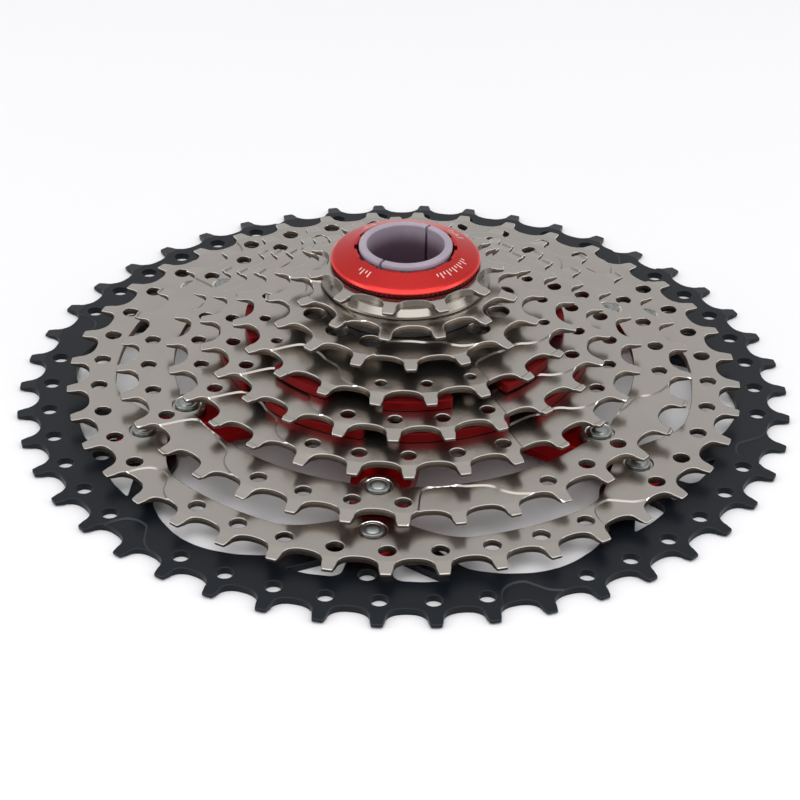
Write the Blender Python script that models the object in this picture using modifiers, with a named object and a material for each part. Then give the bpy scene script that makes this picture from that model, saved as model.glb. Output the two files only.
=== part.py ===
"""Nine-speed bicycle cassette, 11 to 46 teeth, on its plastic shipping core.

Run with: blender --background --python part.py
Units are metres with +Z up. The cassette lies on its largest sprocket: the
origin is the centre of that sprocket's back face, and Z is the wheel axis.
"""

import math
from dataclasses import dataclass

import bmesh
import bpy
from mathutils import Vector

MM = 0.001

# Driving dimensions: the chain standard and the nine-speed stack
CHAIN_PITCH = 12.7 * MM
ROLLER_SEAT_RADIUS = 5.0 * MM
SEAT_DEPTH = 4.4 * MM            # from the pitch circle in to the root circle
TOOTH_RISE = 0.8 * MM            # from the pitch circle out to the tooth tips
TIP_WIDTH = 2.5 * MM
SEAT_SWING_DEG = 72.0            # the roller seat's arc, each side of its lowest point
SEAT_POINTS = 4
SPROCKET_SPACING = 4.35 * MM
PLATE_THICKNESS = 1.8 * MM
JOINT_GAP = 0.1 * MM             # left between two pieces that touch

# The row of lightening holes: one behind each tooth that has no shift ramp
HOLE_DROP = 7.0 * MM             # from the pitch circle in to the row's circle
DEEP_HOLE_DROP = 9.15 * MM       # the same for the small sprocket with big holes
HOLE_SEGMENTS = 6

# The freehub spline: nine keys point inward from the bore
SPLINE_KEYS = 9
SPLINE_BORE_RADIUS = 17.4 * MM
SPLINE_KEY_RADIUS = 16.3 * MM
SPLINE_KEY_WIDTH = 3.6 * MM

# The 46-tooth plate inside its rim: (radius, degrees from the arm) corners
RIM_46_INNER_RADIUS = 81.0 * MM
RIM_46_GAP_DEG = (28.5, 31.5)
TAB_46_SIDE = ((60.8 * MM, 3.0), (62.4 * MM, 8.2), (66.0 * MM, 11.0), (75.2 * MM, 16.2),
               (76.8 * MM, 18.2), (79.0 * MM, 22.0), (80.5 * MM, 26.0))
WINDOW_46_CORNERS = ((79.4 * MM, 13.4), (79.4 * MM, 9.0), (79.0 * MM, 5.4),
                     (77.6 * MM, 4.2), (70.8 * MM, 3.9), (70.6 * MM, 5.0))
TAB_46_HOLE_CIRCLE = 77.3 * MM
TAB_46_HOLE_RADIUS = 2.05 * MM

# The 40-tooth plate swells inward to a tab at each arm
RING_40_INNER_RADIUS = 70.0 * MM
TAB_40_REACH = 61.6 * MM
TAB_40_HALF_DEG = 19.0
TAB_40_STEPS = 4

# The 34-tooth plate has a round lobe at each arm
RING_34_INNER_RADIUS = 55.7 * MM
RING_34_GAP_DEG = (8.0, 52.0)
LOBE_34_RADIUS = 4.7 * MM

# The spider that carries the three largest sprockets
ARM_COUNT = 6
FIRST_ARM_DEG = 24.4
SPIDER_HUB_RADIUS = 24.0 * MM
# Place in the stack of the sprocket seated on each step, its reach, half its width
SPIDER_STEPS = ((1, 74.2 * MM, 6.2 * MM), (2, 60.9 * MM, 6.6 * MM), (3, 50.6 * MM, 7.0 * MM))
STEP_STAGGER = 0.4 * MM          # each step's solid starts a little above the last one's
ARM_ROOT_FLARE = 1.6             # width where an arm leaves the hub, against its tip
ARM_NECK_FLARE = 1.25
OUTER_RIVET_CIRCLE = 66.8 * MM
INNER_RIVET_CIRCLE = 56.0 * MM
RIVET_SHANK_RADIUS = 2.0 * MM
RIVET_HOLE_RADIUS = 2.3 * MM
RIVET_HEAD_RADIUS = 2.8 * MM
RIVET_HEAD_HEIGHT = 0.9 * MM
RIVET_HEAD_EDGE = 0.25 * MM
RIVET_DOME_FALL = 0.15 * MM
RIVET_DOME_SHARE = 0.6
OUTER_RIVET_FOOT = 0.15 * MM
INNER_RIVET_FOOT = 2.0 * MM

# The lobed spacers between the three middle sprockets
LOBE_COUNT = 8
SPACER_BORE_RADIUS = 17.6 * MM
SPACER_RING_RADIUS = 20.6 * MM
WIDE_LOBE_REACH = 44.8 * MM
WIDE_LOBE_DEG = (286.0, 17.5)    # where the first lobe points, and half its spread
NARROW_LOBE_REACH = 38.4 * MM
NARROW_LOBE_DEG = (275.0, 12.5)
WAIST_SHARE = 0.62               # of the reach, where the ring narrows between lobes
WAIST_SPREAD = 0.9

# The collar in one piece with the smallest sprocket
COLLAR_RADIUS = 20.2 * MM
COLLAR_TOP_RADIUS = 18.9 * MM
COLLAR_EDGE = 0.6 * MM
COLLAR_OVERLAP = 0.3 * MM

# The lock ring and the core that holds the stack in its box
LOCKRING_RADIUS = 17.8 * MM
LOCKRING_RIM = 0.9 * MM
LOCKRING_CONE_RADIUS = 16.7 * MM
LOCKRING_CONE_RISE = 1.6 * MM
LOCKRING_CREST_RADIUS = 12.4 * MM
LOCKRING_CREST_RISE = 3.9 * MM   # above the smallest sprocket's face
LOCKRING_BORE_RADIUS = 11.5 * MM
LOCKRING_NOTCH_RADIUS = 12.2 * MM
LOCKRING_NOTCHES = 12
NOTCH_HALF_DEG = 5.0
NOTCH_FLANK_DEG = 1.0
THREAD_RADIUS = 15.25 * MM
SKIRT_BORE_RADIUS = 12.6 * MM
SKIRT_LENGTH = 5.0 * MM
SMALLEST_BORE_RADIUS = 15.6 * MM
WASHER_THICKNESS = 0.7 * MM
WASHER_RADIUS = 17.3 * MM
CORE_BODY_RADIUS = 15.7 * MM
CORE_WALL = 1.5 * MM
CORE_FOOT_RADIUS = 20.0 * MM
CORE_FOOT_HEIGHT = 1.6 * MM
CORE_TOP_RISE = 4.9 * MM         # above the smallest sprocket's face
CORE_SHOULDER_DROP = 1.5 * MM    # below the lock ring's skirt
CORE_NECK_RADIUS = 10.7 * MM
CORE_LIP_RADIUS = 11.1 * MM
CORE_LIP_CHAMFER = 0.6 * MM
CORE_LIP_HEIGHT = 1.8 * MM
CORE_BORE_RADIUS = 9.2 * MM
CORE_SLIT_DEG = 58.0
CORE_SLIT_WIDTH = 1.0 * MM
CORE_SLIT_DEPTH = 10.0 * MM


@dataclass(frozen=True)
class Cog:
    """One sprocket: its teeth, where tooth 0 points, and its row of holes."""

    teeth: int
    phase_deg: float
    ramp_teeth: tuple = ()
    hole_radius: float = 0.0
    hole_drop: float = HOLE_DROP

    @property
    def name(self):
        return f"sprocket_{self.teeth}t"

    @property
    def pitch_deg(self):
        return 360.0 / self.teeth

    @property
    def pitch_radius(self):
        return CHAIN_PITCH / (2.0 * math.sin(math.pi / self.teeth))

    @property
    def root_radius(self):
        return self.pitch_radius - SEAT_DEPTH

    @property
    def hole_circle(self):
        return self.pitch_radius - self.hole_drop


# Largest first: the order in which they stack up from the ground
COGS = (
    Cog(46, 0.73, (6, 14, 21, 29, 37, 44), 2.0 * MM),
    Cog(40, 6.54, (4, 14, 24, 34), 2.0 * MM),
    Cog(34, 5.43, (3, 4, 9, 14, 15, 20, 21, 26, 27, 31, 32), 1.9 * MM),
    Cog(28, 1.39, (3, 4, 10, 11, 17, 18, 24, 25), 1.8 * MM),
    Cog(24, 12.33, (2, 3, 8, 9, 14, 15, 20, 21), 1.7 * MM),
    Cog(20, 8.93, (2, 3, 7, 8, 12, 13, 17, 18), 1.35 * MM),
    Cog(16, 2.73, (3, 4, 8, 12, 13), 2.65 * MM, DEEP_HOLE_DROP),
    Cog(13, 10.85),
    Cog(11, 31.07),
)


def level(index):
    """Height of the underside of the sprocket at this place in the stack."""
    return index * SPROCKET_SPACING


TOP_OF_STACK = level(len(COGS) - 1) + PLATE_THICKNESS


# ---------------------------------------------------------------- outlines

def polar(radius, degrees):
    angle = math.radians(degrees)
    return radius * math.cos(angle), radius * math.sin(angle)


def circle(radius, segments, centre=(0.0, 0.0)):
    points = []
    for i in range(segments):
        x, y = polar(radius, 360.0 * i / segments)
        points.append((centre[0] + x, centre[1] + y))
    return points


def arc(radius, from_deg, to_deg, segments):
    step = (to_deg - from_deg) / segments
    return [polar(radius, from_deg + step * i) for i in range(segments + 1)]


def turned(points, degrees):
    """Points given along +X, turned about the wheel axis."""
    c, s = polar(1.0, degrees)
    return [(x * c - y * s, x * s + y * c) for x, y in points]


def tooth_outline(cog):
    """The toothed rim: a roller seat, then a flat-topped tooth, all round."""
    tip_radius = cog.pitch_radius + TOOTH_RISE
    seat_centre = cog.root_radius + ROLLER_SEAT_RADIUS
    half_tip = math.degrees(TIP_WIDTH / 2.0 / tip_radius)
    points = []
    for tooth in range(cog.teeth):
        tooth_deg = cog.phase_deg + tooth * cog.pitch_deg
        seat = []
        for step in range(SEAT_POINTS):
            share = 2.0 * step / (SEAT_POINTS - 1) - 1.0
            swing = math.radians(SEAT_SWING_DEG * share)
            seat.append((seat_centre - ROLLER_SEAT_RADIUS * math.cos(swing),
                         ROLLER_SEAT_RADIUS * math.sin(swing)))
        points.append(polar(tip_radius, tooth_deg - half_tip))
        points.append(polar(tip_radius, tooth_deg + half_tip))
        points.extend(turned(seat, tooth_deg + cog.pitch_deg / 2.0))
    return points


def lightening_holes(cog):
    """A hole behind every tooth, except where a shift ramp is cut."""
    loops = []
    for tooth in range(cog.teeth):
        if tooth in cog.ramp_teeth or cog.hole_radius == 0.0:
            continue
        centre = polar(cog.hole_circle, cog.phase_deg + tooth * cog.pitch_deg)
        loops.append(circle(cog.hole_radius, HOLE_SEGMENTS, centre))
    return loops


def spline_bore():
    """The splined hole that slides over the freehub."""
    half_key = math.degrees(SPLINE_KEY_WIDTH / 2.0 / SPLINE_KEY_RADIUS)
    pitch = 360.0 / SPLINE_KEYS
    points = []
    for i in range(SPLINE_KEYS):
        middle = i * pitch
        points.append(polar(SPLINE_KEY_RADIUS, middle - half_key))
        points.append(polar(SPLINE_KEY_RADIUS, middle + half_key))
        points.extend(arc(SPLINE_BORE_RADIUS, middle + half_key,
                          middle + pitch - half_key, 2))
    return points


def arm_angles():
    return [FIRST_ARM_DEG + 360.0 / ARM_COUNT * i for i in range(ARM_COUNT)]


def on_every_arm(make_points):
    """One loop from the same run of points laid at each arm in turn."""
    points = []
    for angle in arm_angles():
        points.extend(turned(make_points(), angle))
    return points


def ring_46_inner():
    """Inner edge of the 46-tooth plate: rim, slanting webs, riveting tab."""
    def run():
        side = [polar(radius, degrees) for radius, degrees in TAB_46_SIDE]
        other_side = [(x, -y) for x, y in reversed(side)]
        return other_side + side + arc(RIM_46_INNER_RADIUS, *RIM_46_GAP_DEG, 2)
    return on_every_arm(run)


def ring_46_windows():
    """Two three-cornered windows beside each arm, and a hole in its tab."""
    corners = [polar(radius, degrees) for radius, degrees in WINDOW_46_CORNERS]
    mirrored = [(x, -y) for x, y in corners]
    loops = []
    for angle in arm_angles():
        loops.append(turned(corners, angle))
        loops.append(turned(mirrored, angle))
        loops.append(circle(TAB_46_HOLE_RADIUS, HOLE_SEGMENTS,
                            polar(TAB_46_HOLE_CIRCLE, angle)))
    return loops


def ring_40_inner():
    """Inner edge of the 40-tooth plate: it swells inward to a tab at each arm."""
    def run():
        points = []
        for step in range(-TAB_40_STEPS, TAB_40_STEPS + 1):
            share = step / TAB_40_STEPS
            swell = math.sin(math.radians(90.0) * share) ** 2
            radius = TAB_40_REACH + (RING_40_INNER_RADIUS - TAB_40_REACH) * swell
            points.append(polar(radius, TAB_40_HALF_DEG * share))
        points.append(polar(RING_40_INNER_RADIUS, 180.0 / ARM_COUNT))
        return points
    return on_every_arm(run)


def ring_34_inner():
    """Inner edge of the 34-tooth plate: a plain ring with a round lobe per arm."""
    def run():
        lobe = []
        for swing in (-90.0, -45.0, 0.0, 45.0, 90.0):
            x, y = polar(LOBE_34_RADIUS, swing)
            lobe.append((INNER_RIVET_CIRCLE - x, y))
        return lobe + arc(RING_34_INNER_RADIUS, *RING_34_GAP_DEG, 4)
    return on_every_arm(run)


def rivet_circle(radius):
    return [circle(RIVET_HOLE_RADIUS, 8, polar(radius, angle)) for angle in arm_angles()]


def spider_outline(reach, half_width):
    """The spider seen from above: a hub with six round-ended arms."""
    def run():
        root = math.degrees(math.asin(half_width * ARM_ROOT_FLARE / SPIDER_HUB_RADIUS))
        flare = (SPIDER_HUB_RADIUS * ARM_NECK_FLARE, half_width * ARM_NECK_FLARE)
        shoulder = (reach - half_width * 0.9, half_width)
        nose = (reach - half_width * 0.15, half_width * 0.5)
        upper = [nose, shoulder, flare]
        lower = [(x, -y) for x, y in reversed(upper)]
        foot = polar(SPIDER_HUB_RADIUS, root)
        return [(foot[0], -foot[1])] + lower + upper + [foot]
    return on_every_arm(run)


def lobed_outline(reach, lobe_deg):
    """A spacer with broad lobes standing out of a narrow ring."""
    first_lobe_deg, half_lobe_deg = lobe_deg
    waist = reach * WAIST_SHARE
    half_waist_deg = half_lobe_deg * WAIST_SPREAD
    pitch = 360.0 / LOBE_COUNT
    points = []
    for i in range(LOBE_COUNT):
        middle = first_lobe_deg + i * pitch
        points.extend(arc(reach, middle - half_lobe_deg, middle + half_lobe_deg, 3))
        points.append(polar(waist, middle + half_waist_deg))
        points.append(polar(waist, middle + pitch - half_waist_deg))
    return points


# ------------------------------------------------------------ mesh building

def fresh_collection(name):
    collection = bpy.data.collections.new(name)
    bpy.context.scene.collection.children.link(collection)
    return collection


def add_object(name, mesh, collection, material=None):
    obj = bpy.data.objects.new(name, mesh)
    collection.objects.link(obj)
    if material is not None:
        obj.data.materials.clear()
        obj.data.materials.append(material)
    return obj


def plate_mesh(name, loops, thickness):
    """A flat plate from closed loops; inner loops become holes."""
    curve = bpy.data.curves.new(name + "_outline", "CURVE")
    curve.dimensions = "2D"
    curve.fill_mode = "BOTH"
    curve.extrude = thickness / 2.0
    for loop in loops:
        spline = curve.splines.new("POLY")
        spline.points.add(len(loop) - 1)
        for point, (x, y) in zip(spline.points, loop):
            point.co = (x, y, 0.0, 1.0)
        spline.use_cyclic_u = True
    holder = bpy.data.objects.new(name + "_holder", curve)
    bpy.context.scene.collection.objects.link(holder)
    bpy.context.view_layer.update()
    mesh = bpy.data.meshes.new_from_object(holder)
    bpy.data.objects.remove(holder)
    bpy.data.curves.remove(curve)
    body = bmesh.new()
    body.from_mesh(mesh)
    bmesh.ops.remove_doubles(body, verts=body.verts, dist=0.00001)
    bmesh.ops.recalc_face_normals(body, faces=body.faces)
    body.to_mesh(mesh)
    body.free()
    mesh.name = name
    return mesh


def add_plate(name, loops, bottom, thickness, collection, material=None):
    """A plate object whose underside is at height bottom."""
    obj = add_object(name, plate_mesh(name, loops, thickness), collection, material)
    obj.location = (0.0, 0.0, bottom + thickness / 2.0)
    return obj


def add_turned(name, profile, steps, collection, material=None):
    """A solid of revolution; profile is a list of (radius, height) points.

    An open profile starts and ends on the axis; otherwise it closes on itself.
    """
    mesh = bpy.data.meshes.new(name)
    body = bmesh.new()
    verts = [body.verts.new((radius, 0.0, height)) for radius, height in profile]
    for first, second in zip(verts, verts[1:]):
        body.edges.new((first, second))
    if profile[0][0] > 0.0:
        body.edges.new((verts[-1], verts[0]))
    body.to_mesh(mesh)
    body.free()
    obj = add_object(name, mesh, collection, material)
    screw = obj.modifiers.new("Turn", "SCREW")
    screw.axis = "Z"
    screw.steps = steps
    screw.render_steps = steps
    screw.use_merge_vertices = True
    screw.merge_threshold = 0.00001
    return obj


def add_boolean(obj, tool, operation):
    modifier = obj.modifiers.new(operation.title(), "BOOLEAN")
    modifier.operation = operation
    modifier.solver = "EXACT"
    modifier.object = tool


def as_tool(obj):
    obj.hide_render = True
    obj.display_type = "WIRE"
    return obj


def metal(name, colour, metallic, roughness):
    material = bpy.data.materials.new(name)
    material.use_nodes = True
    shader = material.node_tree.nodes["Principled BSDF"]
    shader.inputs["Base Color"].default_value = (*colour, 1.0)
    shader.inputs["Metallic"].default_value = metallic
    shader.inputs["Roughness"].default_value = roughness
    return material


# ------------------------------------------------------------------- pieces

def build_flat_sprockets(parts, black, nickel):
    """All the sprockets that are plain plates: 46 down to 13 teeth."""
    inner_loops = {
        46: [ring_46_inner()] + ring_46_windows() + rivet_circle(OUTER_RIVET_CIRCLE),
        40: [ring_40_inner()] + rivet_circle(OUTER_RIVET_CIRCLE),
        34: [ring_34_inner()] + rivet_circle(INNER_RIVET_CIRCLE),
    }
    for index, cog in enumerate(COGS[:-1]):
        inner = inner_loops.get(cog.teeth, [spline_bore()])
        loops = [tooth_outline(cog)] + inner + lightening_holes(cog)
        material = black if index == 0 else nickel
        add_plate(cog.name, loops, level(index), PLATE_THICKNESS, parts, material)


def build_smallest_sprocket(parts, tools, nickel):
    """The 11-tooth sprocket, with the splined collar that is part of it."""
    index = len(COGS) - 1
    cog = COGS[index]
    bottom = level(index)
    loops = [tooth_outline(cog), circle(SMALLEST_BORE_RADIUS, 32)]
    plate = add_plate(cog.name, loops, bottom, PLATE_THICKNESS, parts, nickel)
    collar_bottom = level(index - 1) + PLATE_THICKNESS + JOINT_GAP
    collar_top = bottom + COLLAR_OVERLAP
    collar = add_turned("collar_tool", [
        (COLLAR_TOP_RADIUS, collar_top), (COLLAR_RADIUS, collar_bottom + COLLAR_EDGE),
        (COLLAR_RADIUS, collar_bottom), (SMALLEST_BORE_RADIUS, collar_bottom),
        (SMALLEST_BORE_RADIUS, collar_top)], 32, tools)
    as_tool(collar)
    spline_height = bottom - collar_bottom - COLLAR_EDGE
    keyway = as_tool(add_plate("collar_spline_tool", [spline_bore()],
                               collar_bottom - MM, spline_height + MM, tools))
    add_boolean(plate, collar, "UNION")
    add_boolean(plate, keyway, "DIFFERENCE")


def build_spider(parts, tools, red):
    """One-piece spider: each step up its arms seats the next sprocket."""
    bottom = level(0) + PLATE_THICKNESS + JOINT_GAP
    layers = []
    for index, reach, half_width in SPIDER_STEPS:
        underside = bottom + (index - 1) * STEP_STAGGER
        thickness = level(index) - JOINT_GAP - underside
        name = "spider_carrier" if index == 1 else f"spider_step_{index}_tool"
        home, finish = (parts, red) if index == 1 else (tools, None)
        layers.append(add_plate(name, [spider_outline(reach, half_width)],
                                underside, thickness, home, finish))
    height = level(3) - bottom
    holes = rivet_circle(OUTER_RIVET_CIRCLE) + rivet_circle(INNER_RIVET_CIRCLE)
    drill = add_plate("spider_drill_tool", holes + [spline_bore()],
                      bottom - MM, height + 2.0 * MM, tools)
    for layer in layers[1:]:
        add_boolean(layers[0], as_tool(layer), "UNION")
    add_boolean(layers[0], as_tool(drill), "DIFFERENCE")


def build_rivets(parts, steel):
    """Domed rivets: an outer row through 40T, arm and 46T; an inner row at 34T."""
    rows = (
        ("outer_rivet", OUTER_RIVET_CIRCLE, OUTER_RIVET_FOOT, level(1) + PLATE_THICKNESS),
        ("inner_rivet", INNER_RIVET_CIRCLE, INNER_RIVET_FOOT, level(2) + PLATE_THICKNESS),
    )
    for label, circle_radius, foot, face in rows:
        seat = face + JOINT_GAP
        top = face + RIVET_HEAD_HEIGHT
        for number, angle in enumerate(arm_angles(), start=1):
            rivet = add_turned(f"{label}_{number}", [
                (0.0, top), (RIVET_HEAD_RADIUS * RIVET_DOME_SHARE, top - RIVET_DOME_FALL),
                (RIVET_HEAD_RADIUS, seat + RIVET_HEAD_EDGE), (RIVET_HEAD_RADIUS, seat),
                (RIVET_SHANK_RADIUS, seat), (RIVET_SHANK_RADIUS, foot), (0.0, foot),
            ], 8, parts, steel)
            x, y = polar(circle_radius, angle)
            rivet.location = (x, y, 0.0)


def build_spacers(parts, red, dark):
    """Red lobed spacers under the 24 and 20, plain rings under the 16 and 13."""
    thickness = SPROCKET_SPACING - PLATE_THICKNESS - 2.0 * JOINT_GAP
    bottoms = [level(i) + PLATE_THICKNESS + JOINT_GAP for i in range(len(COGS))]
    bore = circle(SPACER_BORE_RADIUS, 24)
    wide = lobed_outline(WIDE_LOBE_REACH, WIDE_LOBE_DEG)
    narrow = lobed_outline(NARROW_LOBE_REACH, NARROW_LOBE_DEG)
    plain = circle(SPACER_RING_RADIUS, 24)
    add_plate("spacer_28_to_24", [wide, bore], bottoms[3], thickness, parts, red)
    add_plate("spacer_24_to_20", [narrow, bore], bottoms[4], thickness, parts, red)
    add_plate("spacer_20_to_16", [plain, bore], bottoms[5], thickness, parts, dark)
    add_plate("spacer_16_to_13", [plain, bore], bottoms[6], thickness, parts, dark)


def build_lock_washer(parts, dark):
    bottom = TOP_OF_STACK + JOINT_GAP
    loops = [circle(WASHER_RADIUS, 32), circle(SMALLEST_BORE_RADIUS, 24)]
    add_plate("lock_washer", loops, bottom, WASHER_THICKNESS, parts, dark)


def build_lockring(parts, tools, red):
    """Coned flange, threaded skirt, and twelve notches for the tool."""
    seat = TOP_OF_STACK + WASHER_THICKNESS + 2.0 * JOINT_GAP
    crown = TOP_OF_STACK + LOCKRING_CREST_RISE
    foot = seat - SKIRT_LENGTH
    ring = add_turned("lockring", [
        (LOCKRING_BORE_RADIUS, crown), (LOCKRING_CREST_RADIUS, crown),
        (LOCKRING_CONE_RADIUS, seat + LOCKRING_CONE_RISE),
        (LOCKRING_RADIUS, seat + LOCKRING_RIM),
        (LOCKRING_RADIUS, seat), (THREAD_RADIUS, seat), (THREAD_RADIUS, foot),
        (SKIRT_BORE_RADIUS, foot), (SKIRT_BORE_RADIUS, seat),
        (LOCKRING_BORE_RADIUS, seat)], 32, parts, red)
    notches = []
    pitch = 360.0 / LOCKRING_NOTCHES
    flank_deg = NOTCH_HALF_DEG + NOTCH_FLANK_DEG
    between = LOCKRING_BORE_RADIUS - 2.0 * JOINT_GAP
    for i in range(LOCKRING_NOTCHES):
        middle = i * pitch
        notches.extend(arc(LOCKRING_NOTCH_RADIUS, middle - NOTCH_HALF_DEG,
                           middle + NOTCH_HALF_DEG, 1))
        notches.extend(arc(between, middle + flank_deg, middle + pitch - flank_deg, 1))
    depth = crown - seat + 2.0 * MM
    tool = add_plate("lockring_notch_tool", [notches], seat - MM, depth, tools)
    add_boolean(ring, as_tool(tool), "DIFFERENCE")


def build_core(parts, tools, plastic):
    """Hollow core: a foot, a splined-size barrel, a split neck with a lip."""
    top = TOP_OF_STACK + CORE_TOP_RISE
    shoulder = TOP_OF_STACK - SKIRT_LENGTH - CORE_SHOULDER_DROP
    lip_foot = top - CORE_LIP_HEIGHT
    barrel_bore = CORE_BODY_RADIUS - CORE_WALL
    core = add_turned("shipping_core", [
        (CORE_LIP_RADIUS - CORE_LIP_CHAMFER, top),
        (CORE_LIP_RADIUS, top - CORE_LIP_CHAMFER),
        (CORE_LIP_RADIUS, lip_foot + CORE_LIP_CHAMFER), (CORE_NECK_RADIUS, lip_foot),
        (CORE_NECK_RADIUS, shoulder), (CORE_BODY_RADIUS, shoulder),
        (CORE_BODY_RADIUS, CORE_FOOT_HEIGHT), (CORE_FOOT_RADIUS, CORE_FOOT_HEIGHT),
        (CORE_FOOT_RADIUS, 0.0), (barrel_bore, 0.0),
        (barrel_bore, shoulder - CORE_WALL), (CORE_BORE_RADIUS, shoulder - CORE_WALL),
        (CORE_BORE_RADIUS, top)], 32, parts, plastic)
    mesh = bpy.data.meshes.new("core_slit_tool")
    body = bmesh.new()
    bmesh.ops.create_cube(body, size=1.0)
    size = Vector((3.0 * CORE_NECK_RADIUS, CORE_SLIT_WIDTH, CORE_SLIT_DEPTH))
    bmesh.ops.scale(body, vec=size, verts=body.verts)
    body.to_mesh(mesh)
    body.free()
    slit = as_tool(add_object("core_slit_tool", mesh, tools))
    slit.location = (0.0, 0.0, top + MM - CORE_SLIT_DEPTH / 2.0)
    slit.rotation_euler = (0.0, 0.0, math.radians(CORE_SLIT_DEG))
    add_boolean(core, slit, "DIFFERENCE")


def main():
    for obj in list(bpy.data.objects):
        bpy.data.objects.remove(obj, do_unlink=True)
    parts = fresh_collection("bicycle_cassette")
    tools = fresh_collection("cutting_tools")
    black = metal("black_ecoat", (0.012, 0.014, 0.018), 0.55, 0.38)
    nickel = metal("satin_nickel", (0.42, 0.39, 0.36), 1.0, 0.34)
    red = metal("red_anodised", (0.55, 0.015, 0.015), 0.9, 0.3)
    steel = metal("rivet_steel", (0.45, 0.46, 0.45), 1.0, 0.3)
    dark = metal("dark_spacer", (0.02, 0.02, 0.022), 0.1, 0.5)
    plastic = metal("frosted_core", (0.62, 0.58, 0.72), 0.0, 0.35)
    build_flat_sprockets(parts, black, nickel)
    build_smallest_sprocket(parts, tools, nickel)
    build_spider(parts, tools, red)
    build_rivets(parts, steel)
    build_spacers(parts, red, dark)
    build_lock_washer(parts, dark)
    build_lockring(parts, tools, red)
    build_core(parts, tools, plastic)


main()
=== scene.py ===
"""Dresses a wide-range bicycle cassette, lying on its largest sprocket, around its CAD frame."""

import logging
import math
from collections.abc import Callable, Sequence
from dataclasses import dataclass, field
from enum import Enum

import bmesh
import bpy
import numpy as np
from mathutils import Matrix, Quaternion, Vector
from mathutils.geometry import delaunay_2d_cdt


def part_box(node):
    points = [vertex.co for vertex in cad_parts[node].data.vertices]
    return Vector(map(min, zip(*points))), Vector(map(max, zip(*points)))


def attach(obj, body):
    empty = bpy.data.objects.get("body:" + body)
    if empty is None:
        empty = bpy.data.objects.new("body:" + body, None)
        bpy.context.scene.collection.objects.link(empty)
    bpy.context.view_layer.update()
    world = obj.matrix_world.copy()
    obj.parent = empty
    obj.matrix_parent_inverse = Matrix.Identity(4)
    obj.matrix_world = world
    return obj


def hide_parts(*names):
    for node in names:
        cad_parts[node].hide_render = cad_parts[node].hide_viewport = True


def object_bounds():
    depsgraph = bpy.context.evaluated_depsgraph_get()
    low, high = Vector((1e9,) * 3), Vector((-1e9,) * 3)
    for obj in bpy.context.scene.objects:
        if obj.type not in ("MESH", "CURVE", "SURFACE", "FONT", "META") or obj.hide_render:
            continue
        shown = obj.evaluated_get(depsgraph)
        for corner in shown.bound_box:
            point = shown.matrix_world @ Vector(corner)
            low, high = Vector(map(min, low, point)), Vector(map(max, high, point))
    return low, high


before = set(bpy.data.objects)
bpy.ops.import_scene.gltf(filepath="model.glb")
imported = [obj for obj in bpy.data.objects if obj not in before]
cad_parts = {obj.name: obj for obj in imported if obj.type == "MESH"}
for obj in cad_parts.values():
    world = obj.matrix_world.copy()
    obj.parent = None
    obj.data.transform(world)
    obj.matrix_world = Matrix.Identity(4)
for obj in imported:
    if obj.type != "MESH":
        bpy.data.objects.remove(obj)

log = logging.getLogger("cassette")

CAD_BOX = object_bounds()

MM = 0.001
FULL_TURN = 360.0
CHAIN_PITCH = 12.7 * MM
SPROCKET_SPACING = 4.35 * MM
PLATE_THICKNESS = 1.8 * MM

# The hub's spline: nine keys point inward from the bore
SPLINE_KEYS = 9
SPLINE_BORE_RADIUS = 17.4 * MM
SPLINE_KEY_RADIUS = 16.3 * MM
SPLINE_KEY_WIDTH = 3.6 * MM

# The spider's arms and the two rows of rivets along them
ARM_COUNT = 6
FIRST_ARM_DEG = 24.4
OUTER_RIVET_CIRCLE = 66.8 * MM
INNER_RIVET_CIRCLE = 56.0 * MM
RIVET_HOLE_RADIUS = 2.3 * MM

Loop = np.ndarray
Colour = tuple[float, float, float]
Place = tuple[float, float, float]
Surface = Callable[[np.ndarray], np.ndarray]


# ------------------------------------------------------------------ shader building


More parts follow.
